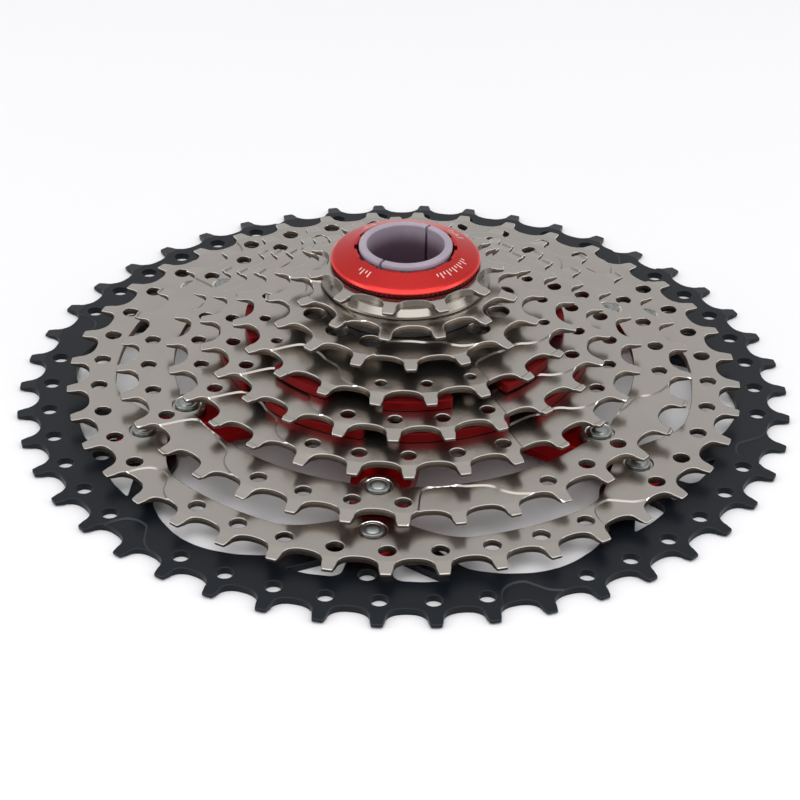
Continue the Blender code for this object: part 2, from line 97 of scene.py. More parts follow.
class Signal:
    """An output socket that can be used in ordinary arithmetic."""

    def __init__(self, graph: "Graph", socket: bpy.types.NodeSocket) -> None:
        """Remembers the graph that the socket belongs to."""
        self.graph = graph
        self.socket = socket

    def _math(self, operation: str, *values: "Signal | float") -> "Signal":
        """Adds one Math node.

        Args:
            operation: the Math node's operation.
            values: its inputs in order.

        Returns:
            The result's signal.
        """
        inputs = dict(enumerate(values))
        return self.graph.node("ShaderNodeMath", {"operation": operation}, inputs)[0]

    def __add__(self, other: "Signal | float") -> "Signal":
        """This plus the other."""
        return self._math("ADD", self, other)

    __radd__ = __add__

    def __sub__(self, other: "Signal | float") -> "Signal":
        """This minus the other."""
        return self._math("SUBTRACT", self, other)

    def __rsub__(self, other: "Signal | float") -> "Signal":
        """The other minus this."""
        return self._math("SUBTRACT", other, self)

    def __mul__(self, other: "Signal | float") -> "Signal":
        """This times the other."""
        return self._math("MULTIPLY", self, other)

    __rmul__ = __mul__

    def __truediv__(self, other: "Signal | float") -> "Signal":
        """This divided by the other."""
        return self._math("DIVIDE", self, other)

    def __mod__(self, other: "Signal | float") -> "Signal":
        """What is left of this after whole steps of the other."""
        return self._math("FLOORED_MODULO", self, other)

    def __abs__(self) -> "Signal":
        """This without its sign."""
        return self._math("ABSOLUTE", self)

    def sine(self) -> "Signal":
        """The sine of this, in radians."""
        return self._math("SINE", self)

    def step(self, low: float, high: float) -> "Signal":
        """A soft step.

        Args:
            low: the value that gives 0.
            high: the value that gives 1; it may be below low.

        Returns:
            A signal between 0 and 1.
        """
        inputs = {"Value": self, "From Min": low, "From Max": high}
        settings = {"interpolation_type": "SMOOTHSTEP"}
        return self.graph.node("ShaderNodeMapRange", settings, inputs)[0]

    def band(self, low: float, high: float, soft: float) -> "Signal":
        """1 between low and high, with soft ends.

        Args:
            low: where the band starts.
            high: where it ends.
            soft: how far each end takes to fade.

        Returns:
            A signal between 0 and 1.
        """
        return self.step(low - soft, low) * self.step(high + soft, high)


class Graph:
    """A node tree, built from expressions."""

    def __init__(self, tree: bpy.types.NodeTree) -> None:
        """Remembers the tree.

        Args:
            tree: the tree that nodes are added to.
        """
        self.tree = tree

    def node(self, kind: str, settings: dict, inputs: dict) -> list[Signal]:
        """Adds any node.

        Args:
            kind: the node's type.
            settings: its properties, set first.
            inputs: values or signals for its sockets, by name or number.

        Returns:
            The signals of its outputs.
        """
        made = self.tree.nodes.new(kind)
        for name, value in settings.items():
            setattr(made, name, value)
        for name, value in inputs.items():
            self.feed(made.inputs[name], value)
        return [Signal(self, socket) for socket in made.outputs]

    def feed(self, socket: bpy.types.NodeSocket, value: "Signal | float | Colour") -> None:
        """Links a signal to a socket, or sets its constant.

        Args:
            socket: the input socket.
            value: a signal, a number or a colour.
        """
        if isinstance(value, Signal):
            self.tree.links.new(value.socket, socket)
        elif isinstance(value, tuple) and socket.type == "RGBA":
            socket.default_value = (*value, 1.0)
        else:
            socket.default_value = value

    def split(self, vector: Signal) -> list[Signal]:
        """The three components of a vector."""
        return self.node("ShaderNodeSeparateXYZ", {}, {0: vector})

    def mix(self, share: Signal, first: "Signal | Colour", second: "Signal | Colour") -> Signal:
        """Blends two colours.

        Args:
            share: 0 for the first, 1 for the second.
            first: a colour.
            second: a colour.

        Returns:
            The blended colour.
        """
        return self.node("ShaderNodeMix", {"data_type": "RGBA"},
                         {0: share, 6: first, 7: second})[2]


class Paint(Graph):
    """One material round a Principled shader, patterned by place on the part."""

    def __init__(self, name: str) -> None:
        """Starts the material.

        Args:
            name: the material's name.
        """
        self.material = bpy.data.materials.new(name)
        self.material.use_nodes = True
        super().__init__(self.material.node_tree)
        self.shader = self.tree.nodes["Principled BSDF"]
        coordinates = self.node("ShaderNodeTexCoord", {}, {})
        self.place = coordinates[3]
        self.x, self.y, self.z = self.split(self.place)
        self.up = self.split(coordinates[1])[2]

    def noise(self, size: float, detail: float = 3.0, stretch: Colour = (1, 1, 1)) -> Signal:
        """Cloudy noise.

        Args:
            size: the size of its features in metres.
            detail: how many finer octaves it has.
            stretch: how much finer it is along each axis.

        Returns:
            A signal around 0.5.
        """
        scaled = self.node("ShaderNodeVectorMath", {"operation": "MULTIPLY"},
                           {0: self.place, 1: stretch})[0]
        return self.node("ShaderNodeTexNoise", {},
                         {"Vector": scaled, "Scale": 1.0 / size, "Detail": detail})[0]

    def bump(self, height: Signal, distance: float) -> Signal:
        """A bumped normal.

        Args:
            height: the height signal.
            distance: how deep a height of 1 is, in metres.

        Returns:
            The normal.
        """
        return self.node("ShaderNodeBump", {},
                         {"Strength": 1.0, "Distance": distance, "Height": height})[0]

    def polar(self) -> tuple[Signal, Signal]:
        """The distance from the wheel axis in metres, and the angle round it in turns."""
        radius = self.node("ShaderNodeMath", {"operation": "SQRT"},
                           {0: self.x * self.x + self.y * self.y})[0]
        angle = self.node("ShaderNodeMath", {"operation": "ARCTAN2"}, {0: self.y, 1: self.x})[0]
        return radius, angle / math.tau

    def finish(self, **sockets: "Signal | float | Colour") -> bpy.types.Material:
        """Feeds the Principled shader.

        Args:
            sockets: values by socket name, with underscores for spaces.

        Returns:
            The finished material.
        """
        for name, value in sockets.items():
            self.feed(self.shader.inputs[name.replace("_", " ")], value)
        return self.material


@dataclass(frozen=True)
class PlatedSteel:
    """Satin nickel on stamped steel: smooth faces, edges near white (rubbed metal plus painted
    highlight), cut walls dark brown (rough steel plus painted shade).

    Inside the collar radius there are no cut walls, and the collar's steep sides are darkened with
    painted shade.
    """

    name: str = "satin_nickel"
    face: Colour = (0.505, 0.468, 0.428)
    shade: Colour = (0.43, 0.397, 0.362)
    # edge: near white, rubbed metal plus a painted highlight on rolled edges and chamfers
    edge: Colour = (0.9, 0.87, 0.83)
    # painted shade: a darker colour for the sloping walls of the shift ramps
    ramp_wall_shade: Colour = (0.27, 0.25, 0.225)
    # collar: painted shade for the steep sides of the smallest sprocket's collar
    collar: Colour = (0.27, 0.25, 0.222)
    # wall: the cut steel's own tone, darkened further as painted shade
    wall: Colour = (0.21, 0.172, 0.138)
    torn_wall: Colour = (0.075, 0.06, 0.05)
    roughness: float = 0.25
    collar_radius: float = 0.0

    def material(self) -> bpy.types.Material:
        """Builds the finish.

        Returns:
            The material.
        """
        graph = Paint(self.name)
        lean = abs(graph.up)
        radius, _ = graph.polar()
        teeth = radius.step(self.collar_radius, self.collar_radius + 0.1 * MM)
        # painted shade, partly the steel's own tone: upright cut walls get the dark wall colours
        wall = lean.step(0.25, 0.1) * teeth
        # painted highlight, partly rubbed metal: the edge colour goes where a face leans like a
        # rolled edge or chamfer
        edge = lean.band(0.3, 0.76, 0.03) * teeth
        # painted shade on the ramp pockets' sloping walls, picked out by how they lean
        ramp = lean.band(0.76, 0.85, 0.03) * teeth
        cloud = graph.noise(9 * MM, 4.0)
        grain = graph.noise(0.35 * MM, 2.0)
        drag = graph.noise(0.5 * MM, 3.0, (1, 1, 0.12))
        depth = (graph.z % SPROCKET_SPACING) / PLATE_THICKNESS
        torn = (depth + (drag - 0.5) * 0.35).step(0.62, 0.4)
        face = graph.mix(cloud * 0.8 + (grain - 0.5) * 0.12, self.shade, self.face)
        sides = graph.mix(torn * (drag * 0.6 + 0.55), self.wall, self.torn_wall)
        colour = graph.mix(edge, graph.mix(ramp, face, self.ramp_wall_shade), self.edge)
        colour = graph.mix(wall, colour, sides)
        # painted shade on the collar's steep sides
        colour = graph.mix((1.0 - teeth) * lean.step(0.9, 0.75), colour, self.collar)
        roughness = (self.roughness + (cloud - 0.5) * 0.06 + (grain - 0.5) * 0.01
                     + wall * 0.22 - edge * 0.04)
        relief = grain * (0.25 + wall * 0.5) + wall * drag * 2.0
        return graph.finish(Base_Color=colour, Metallic=1.0, Roughness=roughness,
                            Normal=graph.bump(relief, 0.0022 * MM))


@dataclass(frozen=True)
class BlackCoat:
    """Satin black electro-coat on the largest sprocket, thin along its edges."""

    face: Colour = (0.003, 0.0048, 0.0078)
    edge: Colour = (0.022, 0.026, 0.032)
    roughness: float = 0.36

    def material(self) -> bpy.types.Material:
        """Builds the finish.

        Returns:
            The material.
        """
        graph = Paint("black_ecoat")
        lean = abs(graph.up)
        edge = lean.band(0.3, 0.95, 0.05)
        cloud = graph.noise(14 * MM, 4.0)
        grain = graph.noise(0.3 * MM, 2.0)
        colour = graph.mix(edge * (0.45 + cloud * 0.5), self.face, self.edge)
        roughness = self.roughness + (cloud - 0.5) * 0.12 + (grain - 0.5) * 0.08
        return graph.finish(Base_Color=colour, Roughness=roughness, Specular_IOR_Level=0.22,
                            Normal=graph.bump(grain, 0.006 * MM))


@dataclass(frozen=True)
class Anodised:
    """Red anodised aluminium with fine tool lines round the wheel axis and a painted highlight on
    its edges.
    """

    name: str = "red_anodised"
    colour: Colour = (0.56, 0.03, 0.028)
    # edge_highlight: a painted highlight, lighter red on edges and the cone's rounded foot
    edge_highlight: Colour = (0.9, 0.055, 0.048)
    roughness: float = 0.3
    marked: bool = False
    mark: Colour = (0.66, 0.52, 0.46)
    knurl_shadow: Colour = (0.03, 0.004, 0.005)
    tool_line: float = 0.16 * MM

    def material(self) -> bpy.types.Material:
        """Builds the finish.

        Returns:
            The material.
        """
        graph = Paint(self.name)
        radius, turns = graph.polar()
        lean = abs(graph.up)
        # painted highlight: the edge mask picks out rolled and sloping faces by how they lean
        edge = lean.band(0.3, 0.7, 0.08) if self.marked else lean.band(0.35, 0.85, 0.05)
        grain = graph.noise(0.5 * MM, 3.0)
        cloud = graph.noise(6 * MM, 3.0)
        lathe = (radius * (math.tau / self.tool_line) + (cloud - 0.5) * 2.0).sine()
        relief = lathe * 0.5 + grain
        colour = graph.mix(edge * 0.7 + (cloud - 0.5) * 0.3, self.colour, self.edge_highlight)
        roughness = self.roughness + (grain - 0.5) * 0.12 + lathe * 0.02
        if self.marked:
            marks = self.laser_marks(graph, radius, turns) * graph.up.step(0.3, 0.6)
            rim = radius.step(17.0 * MM, 17.3 * MM) * lean.step(0.5, 0.2)
            colour = graph.mix(rim * 0.9, colour, self.knurl_shadow)
            colour = graph.mix(marks, colour, self.mark)
            return graph.finish(Base_Color=colour, Metallic=0.9 - marks * 0.7,
                                Roughness=roughness + marks * 0.3,
                                Normal=graph.bump(relief, 0.003 * MM))
        return graph.finish(Base_Color=colour, Metallic=0.9, Roughness=roughness,
                            Normal=graph.bump(relief, 0.006 * MM))

    def laser_marks(self, graph: Paint, radius: Signal, turns: Signal) -> Signal:
        """Plain tick marks in four groups round the cone: two in front and two behind.

        Args:
            graph: the material's graph; not used.
            radius: distance from the wheel axis.
            turns: angle round it in turns.

        Returns:
            1 on a mark and 0 elsewhere.
        """
        long_row = radius.band(13.7 * MM, 15.3 * MM, 0.06 * MM)
        short_row = radius.band(13.7 * MM, 14.5 * MM, 0.06 * MM)
        tick = ((turns * 90.0) % 1.0).band(0.38, 0.62, 0.06)
        alternate = ((turns * 45.0) % 1.0).band(0.0, 0.5, 0.01)
        right = turns.band(-0.165, -0.045, 0.001)
        left = turns.band(-0.385, -0.345, 0.001)
        back = turns.band(0.07, 0.12, 0.001) + turns.band(0.33, 0.38, 0.001)
        rows = long_row * alternate + short_row * (1.0 - alternate)
        return rows * tick * (right + left + back)


@dataclass(frozen=True)
class RivetSteel:
    """Bright zinc-plated rivet heads, with painted shade on their sloping ring and sides."""

    colour: Colour = (0.33, 0.35, 0.34)
    # slope_shade: painted shade where the head slopes away from its top
    slope_shade: Colour = (0.07, 0.07, 0.068)

    def material(self) -> bpy.types.Material:
        """Builds the finish.

        Returns:
            The material.
        """
        graph = Paint("rivet_zinc")
        lean = abs(graph.up)
        cloud = graph.noise(0.9 * MM, 4.0)
        grain = graph.noise(0.25 * MM, 2.0)
        # painted shade on the sloping ring and sides, mixed with random mottling
        colour = graph.mix(lean.step(0.97, 0.6) * 0.7 + (cloud - 0.5) * 0.5,
                           self.colour, self.slope_shade)
        return graph.finish(Base_Color=colour, Metallic=1.0, Roughness=0.22 + cloud * 0.2,
                            Normal=graph.bump(grain + cloud, 0.02 * MM))


@dataclass(frozen=True)
class DarkPlastic:
    """Matt black moulded plastic or blackened steel, with a fine moulded grain."""

    name: str
    colour: Colour
    roughness: float

    def material(self) -> bpy.types.Material:
        """Builds the finish.

        Returns:
            The material.
        """
        graph = Paint(self.name)
        cloud = graph.noise(3 * MM, 3.0)
        grain = graph.noise(0.2 * MM, 2.0)
        lighter = tuple(3.0 * c + 0.01 for c in self.colour)
        colour = graph.mix(cloud * 0.5 + grain * 0.2, self.colour, lighter)
        return graph.finish(Base_Color=colour, Roughness=self.roughness + (grain - 0.5) * 0.2,
                            Normal=graph.bump(grain, 0.02 * MM))


@dataclass(frozen=True)
class FrostedPlastic:
    """Translucent lilac-white plastic with flow marks."""

    colour: Colour = (0.56, 0.48, 0.57)
    flow: Colour = (0.42, 0.35, 0.43)
    shade: Colour = (0.16, 0.09, 0.13)
    shade_start: float = 40.5 * MM
    shade_end: float = 35.5 * MM

    def material(self) -> bpy.types.Material:
        """Builds the finish.

        Returns:
            The material.
        """
        graph = Paint("frosted_plastic")
        _, turns = graph.polar()
        flow = graph.noise(4 * MM, 4.0, (1, 1, 0.3))
        grain = graph.noise(0.3 * MM, 2.0)
        ribs = (turns * (math.tau * 3.0) + flow * 3.0).sine() * 0.5 + 0.5
        colour = graph.mix(ribs * 0.35 + (flow - 0.4) * 0.8, self.colour, self.flow)
        depth = graph.z.step(self.shade_start, self.shade_end)
        colour = graph.mix(depth * (0.85 + flow * 0.2), colour, self.shade)
        return graph.finish(Base_Color=colour, Roughness=0.24 + flow * 0.2,
                            Transmission_Weight=0.45, IOR=1.46,
                            Normal=graph.bump(grain + flow * 2.0, 0.015 * MM))


@dataclass(frozen=True)
class FloorPaint:
    """The plain pale surface that the cassette lies on."""

    colour: Colour = (0.775, 0.77, 0.78)

    def material(self) -> bpy.types.Material:
        """Builds the finish.

        Returns:
            The material.
        """
        graph = Paint("pale_floor")
        cloud = graph.noise(120 * MM, 2.0)
        darker = tuple(0.985 * c for c in self.colour)
        return graph.finish(Base_Color=graph.mix(cloud, self.colour, darker), Roughness=0.55)


# ------------------------------------------------------------------ flat outlines


def polar(radius: float | np.ndarray, degrees: float | np.ndarray) -> np.ndarray:
    """Points at a radius and an angle round the wheel axis.

    Args:
        radius: one radius, or one for each angle.
        degrees: one angle or several.

    Returns:
        One point, or a row of points.
    """
    angle = np.radians(degrees)
    return np.stack([radius * np.cos(angle), radius * np.sin(angle)], axis=-1)


def arc(radius: float, start: float, end: float, steps: int) -> Loop:
    """Points along an arc about the wheel axis.

    Args:
        radius: its radius.
        start: its first angle in degrees.
        end: its last angle.
        steps: how many chords it has.

    Returns:
        The points, both ends included.
    """
    return polar(radius, np.linspace(start, end, steps + 1))


def circle(radius: float, steps: int, centre: Sequence[float] = (0.0, 0.0)) -> Loop:
    """A closed circle, counter-clockwise.

    Args:
        radius: its radius.
        steps: how many chords it has.
        centre: its centre.

    Returns:
        The points.
    """
    return polar(radius, np.arange(steps) * FULL_TURN / steps) + np.asarray(centre)


def turned(points: Loop, degrees: float) -> Loop:
    """Points turned about the wheel axis.

    Args:
        points: the points.
        degrees: how far to turn them.

    Returns:
        The turned points.
    """
    c, s = math.cos(math.radians(degrees)), math.sin(math.radians(degrees))
    return np.asarray(points) @ np.array([[c, s], [-s, c]])


def mirrored(points: Loop) -> Loop:
    """Points mirrored across the X axis, in the opposite order."""
    return np.asarray(points)[::-1] * np.array([1.0, -1.0])


def rounded(corners: Loop, cut: float, steps: int = 4) -> Loop:
    """A closed outline with its corners rounded off.

    Args:
        corners: the corners.
        cut: how far from each corner the rounding starts.
        steps: how many chords each corner takes.

    Returns:
        The rounded outline.
    """
    points = np.asarray(corners, float)
    before, after = np.roll(points, 1, axis=0), np.roll(points, -1, axis=0)
    shares = np.linspace(0.0, 1.0, steps + 1)[:, None]
    made = []
    for a, p, b in zip(before, points, after):
        to_a, to_b = np.linalg.norm(a - p), np.linalg.norm(b - p)
        start = p + (a - p) * min(cut / to_a, 0.45)
        end = p + (b - p) * min(cut / to_b, 0.45)
        made.append((1 - shares) ** 2 * start + 2 * shares * (1 - shares) * p
                    + shares ** 2 * end)
    return np.vstack(made)


def smooth_line(controls: Loop, steps: int) -> Loop:
    """A smooth closed line through control points.

    Args:
        controls: the points that it passes through.
        steps: how many chords it has between two of them.

    Returns:
        The line's points.
    """
    p1 = np.asarray(controls, float)
    p0, p2, p3 = (np.roll(p1, shift, axis=0) for shift in (1, -1, -2))
    made = []
    for a, b, c, d in zip(p0, p1, p2, p3):
        for t in np.arange(steps) / steps:
            made.append(0.5 * (2 * b + (c - a) * t + (2 * a - 5 * b + 4 * c - d) * t ** 2
                               + (3 * b - a - 3 * c + d) * t ** 3))
    return np.array(made)


def area(loop: Loop) -> float:
    """The signed area of an outline, positive if it runs counter-clockwise."""
    following = np.roll(loop, -1, axis=0)
    return 0.5 * float(np.sum(loop[:, 0] * following[:, 1] - following[:, 0] * loop[:, 1]))


def inset(loop: Loop, distance: float) -> Loop:
    """The outline moved to its left by a small distance.

    Args:
        loop: a closed outline.
        distance: how far to move it.

    Returns:
        The moved outline, point for point.
    """
    step = np.roll(loop, -1, axis=0) - loop
    step = step / np.linalg.norm(step, axis=1, keepdims=True)
    left = np.stack([-step[:, 1], step[:, 0]], axis=1)
    before = np.roll(left, 1, axis=0)
    along = np.sum(left * before, axis=1, keepdims=True)
    return loop + distance * (left + before) / np.maximum(1.0 + along, 0.4)


def distance_to(loops: Sequence[Loop], points: np.ndarray) -> np.ndarray:
    """How far points are from the nearest of some closed outlines.

    Args:
        loops: the outlines.
        points: the points.

    Returns:
        One distance for each point.
    """
    starts = np.vstack(list(loops))
    steps = np.vstack([np.roll(loop, -1, axis=0) - loop for loop in loops])
    lengths = np.maximum(np.sum(steps ** 2, axis=1), 1e-18)
    nearest = np.empty(len(points))
    for i, point in enumerate(points):
        away = point - starts
        share = np.clip(np.sum(away * steps, axis=1) / lengths, 0.0, 1.0)
        nearest[i] = np.min(np.sum((away - steps * share[:, None]) ** 2, axis=1))
    return np.sqrt(nearest)


def inside(loop: Loop, points: np.ndarray) -> np.ndarray:
    """Which points lie inside a closed outline.

    Args:
        loop: the outline.
        points: the points.

    Returns:
        One truth value for each point.
    """
    x, y = points[:, 0][:, None], points[:, 1][:, None]
    ax, ay = loop[:, 0], loop[:, 1]
    bx, by = np.roll(ax, -1), np.roll(ay, -1)
    spans = (ay > y) != (by > y)
    rise = np.where(by == ay, 1e-18, by - ay)
    return np.sum(spans & (x < ax + (y - ay) / rise * (bx - ax)), axis=1) % 2 == 1


def splined_bore() -> Loop:
    """The bore that slides over the hub's spline.

    Returns:
        The closed outline.
    """
    half_key = math.degrees(SPLINE_KEY_WIDTH / 2.0 / SPLINE_KEY_RADIUS)
    pitch = FULL_TURN / SPLINE_KEYS
    runs = []
    for k in range(SPLINE_KEYS):
        middle = k * pitch
        runs.append(arc(SPLINE_KEY_RADIUS, middle - half_key, middle + half_key, 4))
        runs.append(arc(SPLINE_BORE_RADIUS, middle + half_key, middle + pitch - half_key, 6))
    return np.vstack(runs)


def arm_angles() -> list[float]:
    """Where the spider's arms point, in degrees."""
    return [FIRST_ARM_DEG + FULL_TURN / ARM_COUNT * k for k in range(ARM_COUNT)]


def on_arms(run: Loop) -> Loop:
    """One loop from the same run of points laid at each arm in turn.

    Args:
        run: the points for the arm that lies along +X.

    Returns:
        The closed loop.
    """
    return np.vstack([turned(run, angle) for angle in arm_angles()])


def rivet_holes(row: float, steps: int) -> list[Loop]:
    """The holes for one row of rivets.

    Args:
        row: the row's distance from the wheel axis.
        steps: how many chords each hole has.

    Returns:
        One outline for each arm.
    """
    return [circle(RIVET_HOLE_RADIUS, steps, polar(row, angle)) for angle in arm_angles()]


# ------------------------------------------------------------------ mesh makers


def level_ground(points: np.ndarray) -> np.ndarray:
    """A surface with no relief."""
    return np.zeros(len(points))


@dataclass
class Sheet:
    """A flat plate with rolled edges, whose faces may be worked to a relief."""

    outline: Loop
    holes: list[Loop]
    bottom: float
    top: float
    roll: float = 0.17 * MM
    under_roll: float = 0.08 * MM
    creases: list[Loop] = field(default_factory=list)
    sink: Surface = level_ground
    under_sink: Surface = level_ground

    ROLL_SHARES = (0.0, 0.3, 1.0)
    KEEP_INSIDE = 1
    MERGE_DISTANCE = 1e-7

    def mesh_data(self) -> tuple[np.ndarray, list[tuple[int, ...]]]:
        """Builds the closed shell.

        Returns:
            The vertices and the faces.
        """
        points, triangles, share = self.triangulate()
        fall = 1.0 - np.sqrt(np.maximum(0.0, 1.0 - (1.0 - share) ** 2))
        high = self.top - self.sink(points) - fall * self.roll
        low = self.bottom + self.under_sink(points) + fall * self.under_roll
        count = len(points)
        verts = np.vstack([np.column_stack([points, high]), np.column_stack([points, low])])
        directed = np.vstack([triangles[:, [0, 1]], triangles[:, [1, 2]], triangles[:, [2, 0]]])
        forward = directed[:, 0] * count + directed[:, 1]
        backward = directed[:, 1] * count + directed[:, 0]
        rim = directed[~np.isin(forward, backward)]
        faces = [tuple(t) for t in triangles.tolist()]
        faces += [(c + count, b + count, a + count) for a, b, c in triangles.tolist()]
        faces += [(a + count, b + count, b, a) for a, b in rim.tolist()]
        return verts, faces

    def triangulate(self) -> tuple[np.ndarray, np.ndarray, np.ndarray]:
        """Cuts the plate's face into triangles along every edge and crease.

        Returns:
            The points, the triangles, and how far each point is in from an edge, as a
            share of the rolled edge's width.
        """
        coords, edges, faces, shares = [], [], [], []
        outline = self.outline if area(self.outline) > 0 else self.outline[::-1]
        holes = [h if area(h) < 0 else h[::-1] for h in self.holes]
        for loop in [outline, *holes]:
            for share in self.ROLL_SHARES:
                ids = list(range(len(coords), len(coords) + len(loop)))
                coords.extend(inset(loop, share * self.roll))
                shares.extend([share] * len(loop))
                if share == 0.0:
                    faces.append(ids if loop is outline else ids[::-1])
                else:
                    edges.extend(zip(ids, ids[1:] + ids[:1]))
        for loop in self.creases:
            ids = list(range(len(coords), len(coords) + len(loop)))
            coords.extend(loop)
            shares.extend([-1.0] * len(loop))
            edges.extend(zip(ids, ids[1:] + ids[:1]))
        vectors = [Vector((float(p[0]), float(p[1]))) for p in coords]
        out = delaunay_2d_cdt(vectors, edges, faces, self.KEEP_INSIDE, self.MERGE_DISTANCE, True)
        kept = np.array([t for t, ids in zip(out[2], out[5]) if ids == [0]])
        used, flat = np.unique(kept, return_inverse=True)
        triangles = flat.reshape(kept.shape)
        points = np.array([out[0][i][:] for i in used])
        first = points[triangles[:, 0]]
        along, across = points[triangles[:, 1]] - first, points[triangles[:, 2]] - first
        clockwise = along[:, 0] * across[:, 1] - along[:, 1] * across[:, 0] < 0
        triangles[clockwise] = triangles[clockwise][:, ::-1]
        known = np.array([max([shares[k] for k in out[3][i]], default=-1.0) for i in used])
        unknown = known < 0.0
        measured = distance_to([outline, *holes], points[unknown]) / self.roll
        known[unknown] = np.clip(measured, 0.0, 1.0)
        return points, triangles, known


@dataclass
class Lathe:
    """A closed profile turned about an upright axis, with its radius worked round the turn."""

    profile: Sequence[tuple[float, float]]
    steps: int
    centre: tuple[float, float] = (0.0, 0.0)
    work: Callable[[np.ndarray, np.ndarray, np.ndarray], np.ndarray] | None = None

    def mesh_data(self) -> tuple[np.ndarray, list[tuple[int, ...]]]:
        """Builds the closed shell.

        Returns:
            The vertices and the faces.
        """
        profile = np.asarray(self.profile, float)
        degrees = np.arange(self.steps) * FULL_TURN / self.steps
        radius = np.repeat(profile[:, 0][:, None], self.steps, axis=1)
        height = np.repeat(profile[:, 1][:, None], self.steps, axis=1)
        turn = np.repeat(degrees[None, :], len(profile), axis=0)
        if self.work is not None:
            radius = self.work(radius, height, turn)
        flat = polar(radius, turn) + np.asarray(self.centre)
        verts = np.concatenate([flat, height[..., None]], axis=2).reshape(-1, 3)
        rows = len(profile)
        faces = []
        for i in range(rows):
            following = (i + 1) % rows
            for k in range(self.steps):
                after = (k + 1) % self.steps
                faces.append((i * self.steps + k, following * self.steps + k,
                              following * self.steps + after, i * self.steps + after))
        return verts, faces


def make_object(name: str, parts: Sequence["Sheet | Lathe"]) -> bpy.types.Object:
    """Joins shells into one object with crisp creases.

    Args:
        name: the piece's name.
        parts: the shells.

    Returns:
        The object.
    """
    verts, faces = [], []
    for part in parts:
        more_verts, more_faces = part.mesh_data()
        first = len(verts)
        verts.extend(map(tuple, more_verts))
        faces.extend(tuple(v + first for v in face) for face in more_faces)
    mesh = bpy.data.meshes.new(name)
    mesh.from_pydata(verts, [], faces)
    tidy_mesh(mesh)
    obj = bpy.data.objects.new(name, mesh)
    bpy.context.scene.collection.objects.link(obj)
    return obj


def tidy_mesh(mesh: bpy.types.Mesh, slope: float = 0.008, corner_deg: float = 33.0) -> None:
    """Merges doubled points, turns normals outward and marks where shading breaks.

    Args:
        mesh: the mesh.
        slope: a change in how upright two faces are that makes their edge sharp.
        corner_deg: an angle between two faces that makes their edge sharp.
    """
    body = bmesh.new()
    body.from_mesh(mesh)
    bmesh.ops.remove_doubles(body, verts=body.verts, dist=0.0005 * MM)
    bmesh.ops.dissolve_degenerate(body, edges=body.edges, dist=0.0005 * MM)
    bmesh.ops.recalc_face_normals(body, faces=body.faces)
    corner = math.cos(math.radians(corner_deg))
    for face in body.faces:
        face.smooth = True
    for edge in body.edges:
        if len(edge.link_faces) != 2:
            continue
        first, second = (face.normal for face in edge.link_faces)
        edge.smooth = abs(first.z - second.z) < slope and first.dot(second) > corner
    body.to_mesh(mesh)
    body.free()


def place(obj: bpy.types.Object, body: str, nodes: Sequence[str],
          material: bpy.types.Material) -> None:
    """Dresses a piece and ties it to its CAD body.

    Args:
        obj: the piece.
        body: the CAD body that it rides on.
        nodes: the CAD nodes that it stands for.
        material: its finish.
    """
    obj.data.materials.clear()
    obj.data.materials.append(material)
    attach(obj, body)
    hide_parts(*nodes)
    log.info("%s: %d faces on body %s", obj.name, len(obj.data.polygons), body)


# ------------------------------------------------------------------ sprockets


class Ramp(Enum):
    """A shift ramp's outline: how many teeth it spans."""

    ONE_TOOTH = 1
    TWO_TEETH = 2


# Ramp outlines as (tooth pitches from the first tooth, mm in from the root circle)
RAMP_LINES: dict[Ramp, tuple[tuple[float, float], ...]] = {
    Ramp.ONE_TOOTH: (
        (-0.78, -6.0), (-0.79, -1.8), (-0.77, 1.6), (-0.66, 4.6), (-0.44, 6.1), (-0.2, 6.1),
        (-0.1, 5.2), (0.02, 3.6), (0.18, 1.6), (0.38, 0.4), (0.66, -0.9), (0.78, -2.6),
        (0.8, -6.0)),
    Ramp.TWO_TEETH: (
        (-0.75, -6.0), (-0.75, -1.6), (-0.72, 1.4), (-0.68, 4.9), (-0.6, 7.6), (-0.42, 8.7),
        (0.08, 8.8), (0.36, 7.9), (0.62, 7.4), (0.8, 6.8), (0.93, 5.7), (1.04, 3.8),
        (1.22, 1.9), (1.45, 0.6), (1.66, -0.7), (1.77, -2.6), (1.79, -6.0)),
}

# The bevel on the tooth that follows a two-tooth ramp, in the same units
SHOULDER_LINE = ((1.83, -12.0), (1.85, -0.7), (2.03, -0.1), (2.31, 0.4), (2.45, 0.5), (2.5, -12.0))


@dataclass
class Pocket:
    """A recess with sloping walls in a plate's top face, or a long slope with no floor."""

    line: Loop
    depth: float
    wall: float = 0.42 * MM
    floored: bool = True

    def __post_init__(self) -> None:
        """Turns the line counter-clockwise."""
        if area(self.line) < 0:
            self.line = self.line[::-1]

    def creases(self) -> list[Loop]:
        """The top and the foot of its walls."""
        return [self.line, inset(self.line, self.wall)] if self.floored else [self.line]

    def sink(self, points: np.ndarray) -> np.ndarray:
        """How deep it is below points of the face.

        Args:
            points: the points.

        Returns:
            One depth for each point.
        """
        depth = np.zeros(len(points))
        low, high = self.line.min(axis=0), self.line.max(axis=0)
        near = np.flatnonzero(np.all((points > low) & (points < high), axis=1))
        near = near[inside(self.line, points[near])]
        depth[near] = np.clip(distance_to([self.line], points[near]) / self.wall, 0.0, 1.0)
        return depth * self.depth


